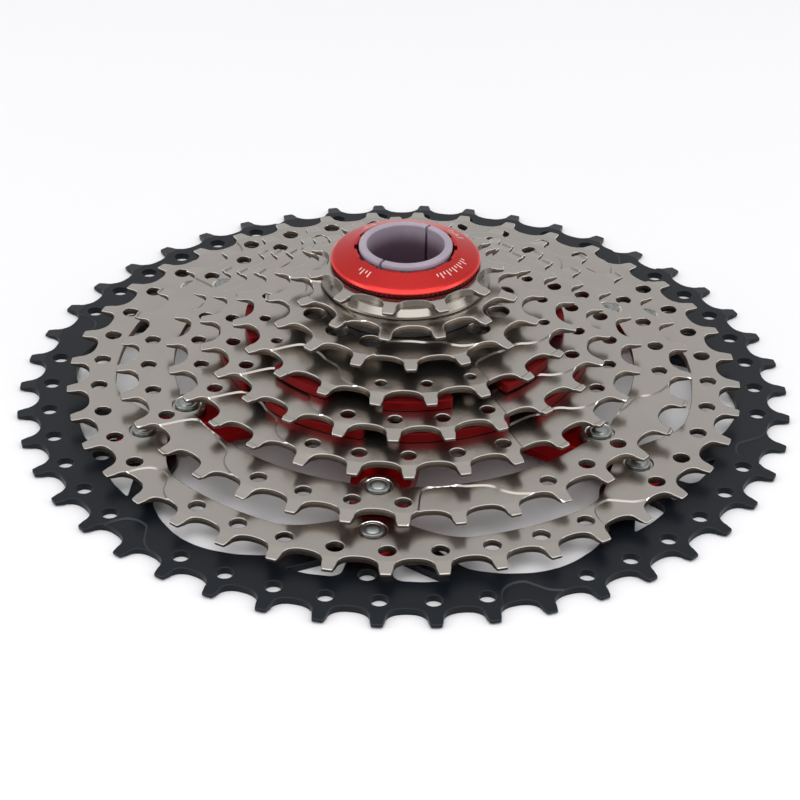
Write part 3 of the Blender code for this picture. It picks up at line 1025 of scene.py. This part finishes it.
@dataclass
class Sprocket:
    """One chain sprocket: teeth with turned tips, drilled holes and shift ramps."""

    teeth: int
    phase_deg: float
    body: str
    slot: str = "nickel"
    plain_teeth: tuple[int, ...] = ()
    ramps: dict[int, Ramp] = field(default_factory=dict)
    ramp_reach: float = 1.0
    ramp_depth: float = 0.32 * MM
    hole_radius: float = 0.0
    hole_drop: float = 7.0 * MM

    SEAT_HALF_WIDTH = 4.65 * MM
    SEAT_RISE = 3.5 * MM
    SEAT_SQUARENESS = 2.35
    SEAT_SWING_DEG = 88.0
    SEAT_STEPS = 16
    SEAT_DEPTH = 4.4 * MM
    TOOTH_RISE = 0.8 * MM
    TIP_WIDTH = 2.5 * MM
    TIP_SOFTENING = 0.3 * MM
    # One side of a tip, as (fall in softenings, distance aside in half widths)
    TIP_FLANK = ((1.0, 1.04), (0.3, 0.94), (0.0, 0.72))
    HOLE_STEPS = 24
    TIP_CHAMFER_START = 1.2 * MM
    TIP_CHAMFER_FALL = 0.6 * MM
    TIP_UNDER_FALL = 0.42 * MM
    SHOULDER_FALL = 0.45 * MM
    SHOULDER_RUN = 4.0 * MM

    @property
    def node(self) -> str:
        """The name of its CAD node."""
        return f"sprocket_{self.teeth}t"

    @property
    def pitch_deg(self) -> float:
        """The angle from one tooth to the next."""
        return FULL_TURN / self.teeth

    @property
    def pitch_radius(self) -> float:
        """The radius that the chain's rollers lie on."""
        return CHAIN_PITCH / (2.0 * math.sin(math.pi / self.teeth))

    @property
    def root_radius(self) -> float:
        """The radius at the bottom of the gaps between teeth."""
        return self.pitch_radius - self.SEAT_DEPTH

    @property
    def tip_radius(self) -> float:
        """The radius over the teeth."""
        return self.pitch_radius + self.TOOTH_RISE

    def tooth_deg(self, tooth: float) -> float:
        """The angle at which a tooth points."""
        return self.phase_deg + tooth * self.pitch_deg

    def outline(self) -> Loop:
        """The toothed rim.

        Returns:
            A closed outline.
        """
        swing = np.radians(np.linspace(-self.SEAT_SWING_DEG, self.SEAT_SWING_DEG,
                                       self.SEAT_STEPS + 1))
        power = 2.0 / self.SEAT_SQUARENESS
        aside = self.SEAT_HALF_WIDTH * np.sign(swing) * np.abs(np.sin(swing)) ** power
        seat = np.stack([self.root_radius + self.SEAT_RISE * (1.0 - np.cos(swing) ** power),
                         aside], axis=1)
        half_tip = math.degrees(self.TIP_WIDTH / 2.0 / self.tip_radius)
        flank = np.vstack([polar(self.tip_radius - self.TIP_SOFTENING * fall, -half_tip * aside)
                           for fall, aside in self.TIP_FLANK])
        run = np.vstack([flank, mirrored(flank), turned(seat, self.pitch_deg / 2.0)])
        return np.vstack([turned(run, self.tooth_deg(k)) for k in range(self.teeth)])

    def drilled(self) -> list[Loop]:
        """The row of lightening holes.

        Returns:
            One outline for each hole.
        """
        if self.hole_radius == 0.0:
            return []
        row = self.pitch_radius - self.hole_drop
        return [circle(self.hole_radius, self.HOLE_STEPS, polar(row, self.tooth_deg(k)))
                for k in range(self.teeth) if k not in self.plain_teeth]

    def inner(self) -> list[Loop]:
        """The openings inside the rim: here, the splined bore."""
        return [splined_bore()]

    def pockets(self) -> list[Pocket]:
        """The shift ramps.

        Returns:
            One pocket for each ramp.
        """
        made = []
        for tooth, ramp in self.ramps.items():
            along, drop = np.array(RAMP_LINES[ramp]).T
            reach = np.where(drop > 0, drop * self.ramp_reach, drop)
            line = polar(self.root_radius - reach * MM, self.tooth_deg(tooth + along))
            made.append(Pocket(smooth_line(line, 5), self.ramp_depth))
            if ramp is Ramp.TWO_TEETH:
                along, drop = np.array(SHOULDER_LINE).T
                line = polar(self.root_radius - drop * MM, self.tooth_deg(tooth + along))
                made.append(Pocket(line, self.SHOULDER_FALL, self.SHOULDER_RUN, False))
        return made

    def chamfer(self, fall: float) -> Surface:
        """The slope turned on the teeth.

        Args:
            fall: how far it has fallen at the tips.

        Returns:
            The surface's depth as a function of points.
        """
        start = self.root_radius + self.TIP_CHAMFER_START
        slope = fall / (self.tip_radius - start)
        return lambda points: np.maximum(np.hypot(points[:, 0], points[:, 1]) - start, 0) * slope

    def sheet(self) -> Sheet:
        """The plate with all its relief.

        Returns:
            The sheet.
        """
        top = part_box(self.node)[1].z
        pockets = self.pockets()
        front, back = self.chamfer(self.TIP_CHAMFER_FALL), self.chamfer(self.TIP_UNDER_FALL)
        ring = circle(self.root_radius + self.TIP_CHAMFER_START, self.teeth * 6)
        return Sheet(
            outline=self.outline(),
            holes=self.inner() + self.drilled(),
            bottom=top - PLATE_THICKNESS,
            top=top,
            creases=[ring] + [line for pocket in pockets for line in pocket.creases()],
            sink=lambda points: front(points) + sum(p.sink(points) for p in pockets),
            under_sink=back,
        )

    def shells(self) -> list["Sheet | Lathe"]:
        """Everything that the sprocket is made of."""
        return [self.sheet()]

    def build(self, material: bpy.types.Material) -> None:
        """Makes and dresses the piece.

        Args:
            material: its finish.
        """
        obj = make_object(f"{self.node}_worked", self.shells())
        place(obj, self.body, [self.node], material)


@dataclass
class ArmMounted(Sprocket):
    """A sprocket riveted to the spider's six arms."""

    rivet_circle: float = OUTER_RIVET_CIRCLE

    RIVET_SEAT_RADIUS = 3.5 * MM
    RIVET_SEAT_DEPTH = 0.3 * MM
    RIVET_SEAT_WALL = 0.3 * MM

    def riveted(self) -> list[Loop]:
        """The holes that the rivets pass through."""
        return rivet_holes(self.rivet_circle, self.HOLE_STEPS)

    def pockets(self) -> list[Pocket]:
        """The shift ramps and the seats pressed round the rivets."""
        seats = [Pocket(circle(self.RIVET_SEAT_RADIUS, 32, polar(self.rivet_circle, angle)),
                        self.RIVET_SEAT_DEPTH, self.RIVET_SEAT_WALL) for angle in arm_angles()]
        return super().pockets() + seats


@dataclass
class LargestSprocket(ArmMounted):
    """The black sprocket, with slanting webs and windows inside its rim."""

    INNER_RADIUS = 81.0 * MM
    GAP_DEG = (28.5, 31.5)
    # Outlines beside an arm, as (mm from the wheel axis, degrees from the arm)
    TAB_SIDE = ((60.8, 3.0), (62.4, 8.2), (66.0, 11.0), (75.2, 16.2), (76.8, 18.2),
                (79.0, 22.0), (80.5, 26.0))
    WINDOW = ((79.4, 13.4), (79.4, 9.0), (79.0, 5.4), (77.6, 4.2), (70.8, 3.9), (70.6, 5.0))
    TAB_ROUNDING = 1.6 * MM
    WINDOW_ROUNDING = 1.0 * MM
    TAB_HOLE_CIRCLE = 77.3 * MM
    TAB_HOLE_RADIUS = 2.05 * MM

    def pockets(self) -> list[Pocket]:
        """Only the shift ramps: its rivets are hidden under the next sprocket."""
        return Sprocket.pockets(self)

    def inner(self) -> list[Loop]:
        """The edge inside the webs, the windows and the tab holes."""
        side = np.vstack([polar(radius * MM, degrees) for radius, degrees in self.TAB_SIDE])
        edge = on_arms(np.vstack([mirrored(side), side,
                                  arc(self.INNER_RADIUS, *self.GAP_DEG, 2)]))
        window = np.vstack([polar(radius * MM, degrees) for radius, degrees in self.WINDOW])
        loops = [rounded(edge, self.TAB_ROUNDING)] + self.riveted()
        for angle in arm_angles():
            loops += [turned(rounded(half, self.WINDOW_ROUNDING), angle)
                      for half in (window, mirrored(window))]
            loops.append(circle(self.TAB_HOLE_RADIUS, self.HOLE_STEPS,
                                polar(self.TAB_HOLE_CIRCLE, angle)))
        return loops


@dataclass
class SecondSprocket(ArmMounted):
    """The sprocket that swells inward to a tab at each arm."""

    INNER_RADIUS = 70.0 * MM
    TAB_REACH = 61.6 * MM
    TAB_HALF_DEG = 19.0
    TAB_STEPS = 14
    GAP_DEG = (21.0, 39.0)

    def inner(self) -> list[Loop]:
        """The wavy inner edge and the rivet holes."""
        share = np.arange(-self.TAB_STEPS, self.TAB_STEPS + 1) / self.TAB_STEPS
        swell = np.sin(np.radians(90.0) * share) ** 2
        radius = self.TAB_REACH + (self.INNER_RADIUS - self.TAB_REACH) * swell
        run = np.vstack([polar(radius, self.TAB_HALF_DEG * share),
                         arc(self.INNER_RADIUS, *self.GAP_DEG, 8)])
        return [on_arms(run)] + self.riveted()


@dataclass
class ThirdSprocket(ArmMounted):
    """The sprocket with a round lobe at each arm."""

    INNER_RADIUS = 55.7 * MM
    LOBE_RADIUS = 4.7 * MM
    GAP_DEG = (7.0, 53.0)

    def inner(self) -> list[Loop]:
        """The inner edge with its lobes, and the rivet holes."""
        swing = np.radians(np.linspace(-90.0, 90.0, 13))
        lobe = np.stack([self.rivet_circle - self.LOBE_RADIUS * np.cos(swing),
                         self.LOBE_RADIUS * np.sin(swing)], axis=1)
        run = np.vstack([lobe, arc(self.INNER_RADIUS, *self.GAP_DEG, 24)])
        return [on_arms(run)] + self.riveted()


@dataclass
class SmallestSprocket(Sprocket):
    """The smallest sprocket, in one piece with its splined collar."""

    BORE_RADIUS = 15.6 * MM
    COLLAR_RADIUS = 20.2 * MM
    COLLAR_TOP_RADIUS = 18.9 * MM
    COLLAR_EDGE = 0.6 * MM
    COLLAR_BEVEL = 0.25 * MM
    COLLAR_OVERLAP = 0.02 * MM

    def inner(self) -> list[Loop]:
        """A plain bore, which the lock ring's thread passes through."""
        return [circle(self.BORE_RADIUS, 96)]

    def shells(self) -> list["Sheet | Lathe"]:
        """The toothed plate and the collar under it."""
        low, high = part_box(self.node)
        foot, head = low.z, high.z - PLATE_THICKNESS + self.COLLAR_OVERLAP
        bevel = self.COLLAR_BEVEL
        collar = Lathe([
            (self.COLLAR_TOP_RADIUS, head), (self.COLLAR_TOP_RADIUS, head - bevel),
            (self.COLLAR_RADIUS, foot + self.COLLAR_EDGE + bevel),
            (self.COLLAR_RADIUS, foot + bevel), (self.COLLAR_RADIUS - bevel, foot),
            (SPLINE_KEY_RADIUS + bevel, foot), (SPLINE_KEY_RADIUS, foot + bevel),
            (SPLINE_KEY_RADIUS, head)], 96)
        return [self.sheet(), collar]


# ------------------------------------------------------------------ spider and rivets


@dataclass
class Spider:
    """The red carrier: a hub with six stepped arms."""

    steps: tuple[tuple[float, float], ...] = (
        (74.2 * MM, 6.2 * MM), (60.9 * MM, 6.6 * MM), (50.6 * MM, 7.0 * MM))
    step_rises: tuple[float, float] = (2.35 * MM, 6.7 * MM)
    hub_radius: float = 24.0 * MM
    root_flare: float = 1.6
    neck_flare: float = 1.25
    rounding: float = 3.0 * MM

    NODE = "spider_carrier"
    # An arm's end, as (half widths in from its reach, half widths aside)
    TOE = ((0.9, 1.0), (0.15, 0.5))
    HOLE_STEPS = 20

    def outline(self, reach: float, half_width: float) -> Loop:
        """The spider seen from above at one of its steps.

        Args:
            reach: how far its arms go.
            half_width: half their width.

        Returns:
            The closed outline.
        """
        root = math.degrees(math.asin(half_width * self.root_flare / self.hub_radius))
        toe = [(reach - half_width * back, half_width * aside) for back, aside in self.TOE]
        neck = (self.hub_radius * self.neck_flare, half_width * self.neck_flare)
        side = np.vstack([toe[::-1], neck, polar(self.hub_radius, root)])
        return rounded(on_arms(np.vstack([mirrored(side), side])), self.rounding, 5)

    def build(self, material: bpy.types.Material) -> None:
        """Makes and dresses the piece.

        Args:
            material: its finish.
        """
        low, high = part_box(self.NODE)
        outer = rivet_holes(OUTER_RIVET_CIRCLE, self.HOLE_STEPS)
        inner = rivet_holes(INNER_RIVET_CIRCLE, self.HOLE_STEPS)
        levels = [low.z, *(low.z + rise for rise in self.step_rises), high.z]
        shells = []
        for (reach, half), holes, bottom, top in zip(
                self.steps, [outer + inner, inner, []], levels, levels[1:]):
            shells.append(Sheet(self.outline(reach, half), [splined_bore(), *holes],
                                bottom, top, 0.3 * MM, 0.1 * MM))
        obj = make_object("spider_worked", shells)
        place(obj, "big_sprocket_block", [self.NODE], material)


@dataclass
class RivetRow:
    """Six rivets with a domed middle inside a rolled ring."""

    label: str
    head_radius: float = 2.8 * MM
    head_height: float = 1.1 * MM
    shank_radius: float = 2.0 * MM
    shank_end_bevel: float = 0.2 * MM

    AXIS_RADIUS = 0.01 * MM
    # The head from its middle to its side, as (mm from the rivet's axis, mm below its top)
    HEAD = ((0.7, 0.03), (1.2, 0.1), (1.6, 0.25), (1.85, 0.43), (1.97, 0.46), (2.12, 0.38),
            (2.45, 0.35), (2.68, 0.45))
    HEAD_SIDE_FALL = 0.6 * MM

    def profile(self, foot: float, top: float) -> list[tuple[float, float]]:
        """Half of a rivet's section, as (radius, height) points.

        Args:
            foot: the height of its foot.
            top: the height of its head.

        Returns:
            The points.
        """
        seat = top - self.head_height
        return [(self.AXIS_RADIUS, top), *((r * MM, top - fall * MM) for r, fall in self.HEAD),
                (self.head_radius, top - self.HEAD_SIDE_FALL), (self.head_radius, seat),
                (self.shank_radius, seat), (self.shank_radius, foot + 0.1 * MM),
                (self.shank_radius - self.shank_end_bevel, foot), (self.AXIS_RADIUS, foot)]

    def build(self, material: bpy.types.Material) -> None:
        """Makes and dresses the rivets.

        Args:
            material: their finish.
        """
        for number in range(1, ARM_COUNT + 1):
            node = f"{self.label}_{number}"
            low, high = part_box(node)
            middle = ((low.x + high.x) / 2.0, (low.y + high.y) / 2.0)
            obj = make_object(f"{node}_worked", [Lathe(self.profile(low.z, high.z), 32, middle)])
            place(obj, "big_sprocket_block", [node], material)


# ------------------------------------------------------------------ spacers


@dataclass
class Spacer:
    """A ring that keeps two sprockets apart, plain or with broad lobes."""

    node: str
    body: str
    slot: str
    reach: float = 20.6 * MM
    first_lobe_deg: float = 0.0
    half_lobe_deg: float = 0.0
    lobes: int = 0
    bore_radius: float = 17.6 * MM
    waist_share: float = 0.62
    rounding: float = 1.4 * MM
    roll: float = 0.2 * MM

    def outline(self) -> Loop:
        """The spacer's outer edge.

        Returns:
            The closed outline.
        """
        if self.lobes == 0:
            return circle(self.reach, 96)
        pitch = FULL_TURN / self.lobes
        waist = self.reach * self.waist_share
        half_waist = self.half_lobe_deg * 0.9
        runs = []
        for k in range(self.lobes):
            middle = self.first_lobe_deg + k * pitch
            runs.append(arc(self.reach, middle - self.half_lobe_deg,
                            middle + self.half_lobe_deg, 8))
            runs.append(arc(waist, middle + half_waist, middle + pitch - half_waist, 2))
        return rounded(np.vstack(runs), self.rounding)

    def build(self, material: bpy.types.Material) -> None:
        """Makes and dresses the piece.

        Args:
            material: its finish.
        """
        low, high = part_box(self.node)
        sheet = Sheet(self.outline(), [circle(self.bore_radius, 96)], low.z, high.z,
                      self.roll, self.roll)
        obj = make_object(f"{self.node}_worked", [sheet])
        place(obj, self.body, [self.node], material)


# ------------------------------------------------------------------ lock ring and core


@dataclass
class LockRing:
    """The coned lock ring, its washer, knurled rim, thread and tool notches."""

    rim_radius: float = 17.8 * MM
    crest_radius: float = 12.35 * MM
    bore_radius: float = 11.5 * MM
    notch_radius: float = 12.2 * MM
    notches: int = 12
    notch_half_deg: float = 5.2
    thread_radius: float = 15.25 * MM
    thread_depth: float = 0.45 * MM
    thread_pitch: float = 25.4 / 24.0 * MM
    skirt_bore: float = 12.6 * MM
    knurls: int = 96
    knurl_depth: float = 0.2 * MM
    rim_drop: float = 0.6 * MM
    cone_rise: float = 3.0 * MM
    washer_inset: float = 0.6 * MM
    washer_bore: float = 15.6 * MM
    washer_roll: float = 0.15 * MM
    steps: int = 384

    NODE = "lockring"
    WASHER_NODE = "lock_washer"

    def worked(self, radius: np.ndarray, height: np.ndarray, turn: np.ndarray) -> np.ndarray:
        """Cuts the notches, the knurl and the thread into the turned blank.

        Args:
            radius: the blank's radius at each point.
            height: each point's height.
            turn: each point's angle in degrees.

        Returns:
            The worked radius.
        """
        low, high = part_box(self.NODE)
        seat = high.z - self.cone_rise
        pitch = FULL_TURN / self.notches
        off = np.abs((turn + pitch / 2.0) % pitch - pitch / 2.0)
        notched = (off < self.notch_half_deg) & (radius < self.notch_radius)
        notched &= height > seat - 0.01 * MM
        radius = np.where(notched, self.notch_radius, radius)
        wave = np.abs((turn * self.knurls / FULL_TURN) % 1.0 - 0.5) * 2.0
        rim = (radius > self.rim_radius - 0.15 * MM) & (height < seat + 0.28 * MM)
        radius = np.where(rim, radius - self.knurl_depth * wave, radius)
        climb = (height / self.thread_pitch - turn / FULL_TURN) % 1.0
        tooth = np.abs(climb - 0.5) * 2.0
        threaded = (np.abs(radius - self.thread_radius) < 0.05 * MM) & (height < seat - 0.4 * MM)
        threaded &= height > low.z + 0.3 * MM
        return np.where(threaded, radius - self.thread_depth * tooth, radius)

    def profile(self) -> list[tuple[float, float]]:
        """The blank's outline, as (radius, height) points.

        Returns:
            The points, all round the section.
        """
        low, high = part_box(self.NODE)
        foot, crown, seat = low.z, high.z, high.z - self.cone_rise
        r = self.rim_radius
        thread = [(self.thread_radius, float(z))
                  for z in np.arange(seat - 0.2 * MM, foot + 0.1 * MM, -0.15 * MM)]
        return [
            (self.bore_radius, crown - 0.22 * MM),
            (self.bore_radius + 0.06 * MM, crown - 0.07 * MM),
            (self.bore_radius + 0.22 * MM, crown), (self.crest_radius - 0.1 * MM, crown),
            (self.crest_radius + 0.15 * MM, crown - 0.06 * MM),
            (r - 1.3 * MM, seat + 1.42 * MM), (r - 0.8 * MM, seat + 1.18 * MM),
            (r - 0.4 * MM, seat + 0.86 * MM), (r - 0.1 * MM, seat + 0.5 * MM),
            (r, seat + 0.3 * MM), (r, seat + 0.26 * MM), (r, seat - self.rim_drop + 0.1 * MM),
            (r - 0.1 * MM, seat - self.rim_drop), (r - 0.35 * MM, seat - self.rim_drop),
            (r - 0.4 * MM, seat), (self.thread_radius, seat), *thread,
            (self.thread_radius - 0.2 * MM, foot), (self.skirt_bore, foot),
            (self.skirt_bore, seat), (self.bore_radius, seat)]

    def build(self, red: bpy.types.Material, dark: bpy.types.Material) -> None:
        """Makes and dresses the ring and its washer.

        Args:
            red: the ring's finish.
            dark: the washer's finish.
        """
        blank = Lathe(self.profile(), self.steps, work=self.worked)
        ring = make_object("lockring_worked", [blank])
        place(ring, "ring", [self.NODE], red)
        low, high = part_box(self.WASHER_NODE)
        washer = Sheet(circle(self.rim_radius - self.washer_inset, 128),
                       [circle(self.washer_bore, 96)],
                       low.z, high.z, self.washer_roll, self.washer_roll)
        obj = make_object("lock_washer_worked", [washer])
        place(obj, "washer", [self.WASHER_NODE], dark)


@dataclass
class ShippingCore:
    """The hollow plastic core with a split, lipped neck."""

    body_radius: float = 15.7 * MM
    wall: float = 1.5 * MM
    foot_radius: float = 20.0 * MM
    foot_height: float = 1.6 * MM
    shoulder_drop: float = 11.4 * MM
    neck_radius: float = 10.7 * MM
    lip_radius: float = 11.1 * MM
    bore_radius: float = 9.2 * MM
    slit_deg: float = 58.0
    slit_width: float = 0.7 * MM
    slit_depth: float = 10.0 * MM

    NODE = "shipping_core"

    def build(self, material: bpy.types.Material) -> None:
        """Makes and dresses the piece.

        Args:
            material: its finish.
        """
        low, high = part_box(self.NODE)
        top = high.z
        shoulder = top - self.shoulder_drop
        inner = self.body_radius - self.wall
        core = Lathe([
            (self.bore_radius, top - 0.3 * MM), (self.bore_radius + 0.1 * MM, top - 0.08 * MM),
            (self.bore_radius + 0.35 * MM, top), (self.lip_radius - 0.4 * MM, top),
            (self.lip_radius - 0.12 * MM, top - 0.12 * MM), (self.lip_radius, top - 0.4 * MM),
            (self.lip_radius, top - 1.1 * MM), (self.neck_radius, top - 1.8 * MM),
            (self.neck_radius, shoulder + 0.4 * MM), (self.neck_radius + 0.3 * MM, shoulder),
            (self.body_radius - 0.4 * MM, shoulder), (self.body_radius, shoulder - 0.4 * MM),
            (self.body_radius, self.foot_height + 0.3 * MM),
            (self.body_radius + 0.3 * MM, self.foot_height),
            (self.foot_radius - 0.3 * MM, self.foot_height),
            (self.foot_radius, self.foot_height - 0.3 * MM), (self.foot_radius, low.z),
            (inner, low.z), (inner, shoulder - self.wall),
            (self.bore_radius, shoulder - self.wall)], 120)
        obj = make_object("shipping_core_worked", [core])
        self.cut_slit(obj, top)
        place(obj, "core", [self.NODE], material)

    def cut_slit(self, obj: bpy.types.Object, top: float) -> None:
        """Splits the neck across its diameter.

        Args:
            obj: the core.
            top: the height of its lip.
        """
        half_long, half_wide = 2.0 * self.lip_radius, self.slit_width / 2.0
        corners = np.array([(-half_long, -half_wide), (half_long, -half_wide),
                            (half_long, half_wide), (-half_long, half_wide)])
        saw = make_object("slit_saw", [Sheet(turned(corners, self.slit_deg), [],
                                             top - self.slit_depth, top + MM,
                                             0.02 * MM, 0.02 * MM)])
        cut = obj.modifiers.new("Slit", "BOOLEAN")
        cut.operation = "DIFFERENCE"
        cut.solver = "EXACT"
        cut.object = saw
        graph = bpy.context.evaluated_depsgraph_get()
        split = bpy.data.meshes.new_from_object(obj.evaluated_get(graph))
        obj.modifiers.clear()
        obj.data = split
        bpy.data.objects.remove(saw)
        tidy_mesh(split)


# ------------------------------------------------------------------ the set


@dataclass
class Studio:
    """A pale floor, soft lights and a long-lens camera."""

    camera_place: Place = (-0.0009, -0.4934, 0.3173)
    target: Place = (-0.00087, -0.0052, 0.0008)
    roll: float = 0.0132
    lens: float = 107.55
    floor_half: float = 3.0
    floor_gap: float = 0.02 * MM
    aim: Place = (0.0, 0.0, 0.0)

    def build(self) -> None:
        """Makes the floor, the lights, the surroundings and the camera."""
        self.make_floor()
        self.make_lights()
        self.make_surroundings()
        self.make_camera()

    def make_floor(self) -> None:
        """Lays the floor just under the cassette."""
        mesh = bpy.data.meshes.new("floor")
        half = self.floor_half
        z = CAD_BOX[0].z - self.floor_gap
        mesh.from_pydata([(-half, -half, z), (half, -half, z), (half, half, z), (-half, half, z)],
                         [], [(0, 1, 2, 3)])
        floor = bpy.data.objects.new("floor", mesh)
        bpy.context.scene.collection.objects.link(floor)
        mesh.materials.append(FloorPaint().material())

    def make_light(self, name: str, hung_at: Place, size: tuple[float, float],
                   power: float) -> None:
        """Hangs one soft panel.

        Args:
            name: its name.
            hung_at: where it hangs.
            size: its width and height.
            power: its power in watts.
        """
        panel = bpy.data.lights.new(name, "AREA")
        panel.shape = "RECTANGLE"
        panel.size, panel.size_y = size
        panel.energy = power
        obj = bpy.data.objects.new(name, panel)
        bpy.context.scene.collection.objects.link(obj)
        obj.location = hung_at
        toward = Vector(self.aim) - Vector(hung_at)
        obj.rotation_euler = toward.to_track_quat("-Z", "Y").to_euler()

    def make_lights(self) -> None:
        """Hangs the studio's panels."""
        self.make_light("overhead", (0.0, -0.5, 1.25), (1.8, 0.9), 9.5)
        self.make_light("left", (-1.1, -0.35, 0.6), (0.6, 0.6), 3.6)
        self.make_light("right", (1.1, -0.3, 0.6), (0.6, 0.6), 3.2)

    def make_surroundings(self) -> None:
        """Sets the soft light from all round: greyest behind, brightest above the front."""
        world = bpy.data.worlds.new("studio")
        world.use_nodes = True
        graph = Graph(world.node_tree)
        direction = graph.node("ShaderNodeTexCoord", {}, {})[0]
        _, back, up = graph.split(direction)
        strength = (0.66 + back.step(0.0, 0.7) * 0.06 + up.step(0.7, 1.0) * 0.25
                    + back.step(-0.1, -0.7) * up.step(0.1, 0.6) * 0.3)
        background = graph.tree.nodes["Background"]
        graph.feed(background.inputs["Strength"], strength)
        graph.feed(background.inputs["Color"], (0.985, 0.99, 1.0))
        bpy.context.scene.world = world

    def make_camera(self) -> None:
        """Sets the camera."""
        data = bpy.data.cameras.new("camera")
        data.lens = self.lens
        data.sensor_width = 36.0
        data.clip_start, data.clip_end = 0.01, 20.0
        camera = bpy.data.objects.new("camera", data)
        bpy.context.scene.collection.objects.link(camera)
        camera.location = self.camera_place
        toward = Vector(self.target) - Vector(self.camera_place)
        camera.rotation_mode = "QUATERNION"
        camera.rotation_quaternion = (toward.to_track_quat("-Z", "Y")
                                      @ Quaternion((0.0, 0.0, 1.0), self.roll))
        bpy.context.scene.camera = camera


def two_tooth_ramps(*first_teeth: int) -> dict[int, Ramp]:
    """Two-tooth ramps that start at the given teeth."""
    return {tooth: Ramp.TWO_TEETH for tooth in first_teeth}


def one_tooth_ramps(*teeth: int) -> dict[int, Ramp]:
    """One-tooth ramps at the given teeth."""
    return {tooth: Ramp.ONE_TOOTH for tooth in teeth}


def sprocket_set() -> list[Sprocket]:
    """The nine sprockets, largest first.

    Returns:
        The sprockets.
    """
    block = "big_sprocket_block"
    return [
        LargestSprocket(46, 0.73, block, "black_coat", plain_teeth=(6, 14, 21, 29, 37, 44),
                        ramps=one_tooth_ramps(6, 14, 21, 29, 37, 44), hole_radius=2.0 * MM),
        SecondSprocket(40, 6.54, block, plain_teeth=(4, 14, 24, 34),
                       ramps=one_tooth_ramps(4, 14, 24, 34), hole_radius=2.0 * MM),
        ThirdSprocket(34, 5.43, block, plain_teeth=(3, 4, 9, 14, 15, 20, 21, 26, 27, 31, 32),
                      ramps=two_tooth_ramps(3, 14, 20, 26, 31) | one_tooth_ramps(9),
                      hole_radius=1.9 * MM, rivet_circle=INNER_RIVET_CIRCLE),
        Sprocket(28, 1.39, "cog_28", plain_teeth=(3, 4, 10, 11, 17, 18, 24, 25),
                 ramps=two_tooth_ramps(3, 10, 17, 24), hole_radius=1.8 * MM),
        Sprocket(24, 12.33, "cog_24", plain_teeth=(2, 3, 8, 9, 14, 15, 20, 21),
                 ramps=two_tooth_ramps(2, 8, 14, 20), hole_radius=1.7 * MM),
        Sprocket(20, 8.93, "cog_20", plain_teeth=(2, 3, 7, 8, 12, 13, 17, 18),
                 ramps=two_tooth_ramps(2, 7, 12, 17), ramp_reach=0.9, hole_radius=1.35 * MM),
        Sprocket(16, 2.73, "cog_16", plain_teeth=(3, 4, 8, 12, 13),
                 ramps=two_tooth_ramps(3, 12) | one_tooth_ramps(8), ramp_reach=0.75,
                 hole_radius=2.65 * MM, hole_drop=9.15 * MM),
        Sprocket(13, 10.85, "cog_13", ramps=two_tooth_ramps(2, 7), ramp_reach=0.38),
        SmallestSprocket(11, 31.07, "cog_11"),
    ]


def main() -> None:
    """Builds every sub-assembly in order."""
    logging.basicConfig(level=logging.INFO, format="%(message)s")
    bpy.context.scene.view_settings.view_transform = "Standard"
    nickel = PlatedSteel().material()
    collared = PlatedSteel("satin_nickel_collar", collar_radius=20.4 * MM).material()
    finishes = {LargestSprocket: BlackCoat().material(), SmallestSprocket: collared}
    # the second colour of each red is its painted edge highlight
    carrier_red = Anodised("carrier_red", (0.36, 0.005, 0.007), (0.46, 0.015, 0.017), 0.4)
    spacer_red = Anodised("spacer_red", (0.15, 0.002, 0.003), (0.17, 0.003, 0.004), 0.5)
    red = spacer_red.material()
    dark = DarkPlastic("dark_plastic", (0.012, 0.012, 0.013), 0.5).material()
    zinc = RivetSteel().material()
    for sprocket in sprocket_set():
        sprocket.build(finishes.get(type(sprocket), nickel))
    Spider().build(carrier_red.material())
    for label in ("outer_rivet", "inner_rivet"):
        RivetRow(label).build(zinc)
    Spacer("spacer_28_to_24", "spacer_28_24", "red_anodised", reach=44.8 * MM,
           first_lobe_deg=286.0, half_lobe_deg=17.5, lobes=8).build(red)
    Spacer("spacer_24_to_20", "spacer_24_20", "red_anodised", reach=38.4 * MM,
           first_lobe_deg=275.0, half_lobe_deg=12.5, lobes=8).build(red)
    Spacer("spacer_20_to_16", "spacer_20_16", "dark_plastic").build(dark)
    Spacer("spacer_16_to_13", "spacer_16_13", "dark_plastic").build(dark)
    LockRing().build(Anodised("ring_red", marked=True).material(), dark)
    ShippingCore().build(FrostedPlastic().material())
    Studio().build()


if __name__ == "__main__":
    main()
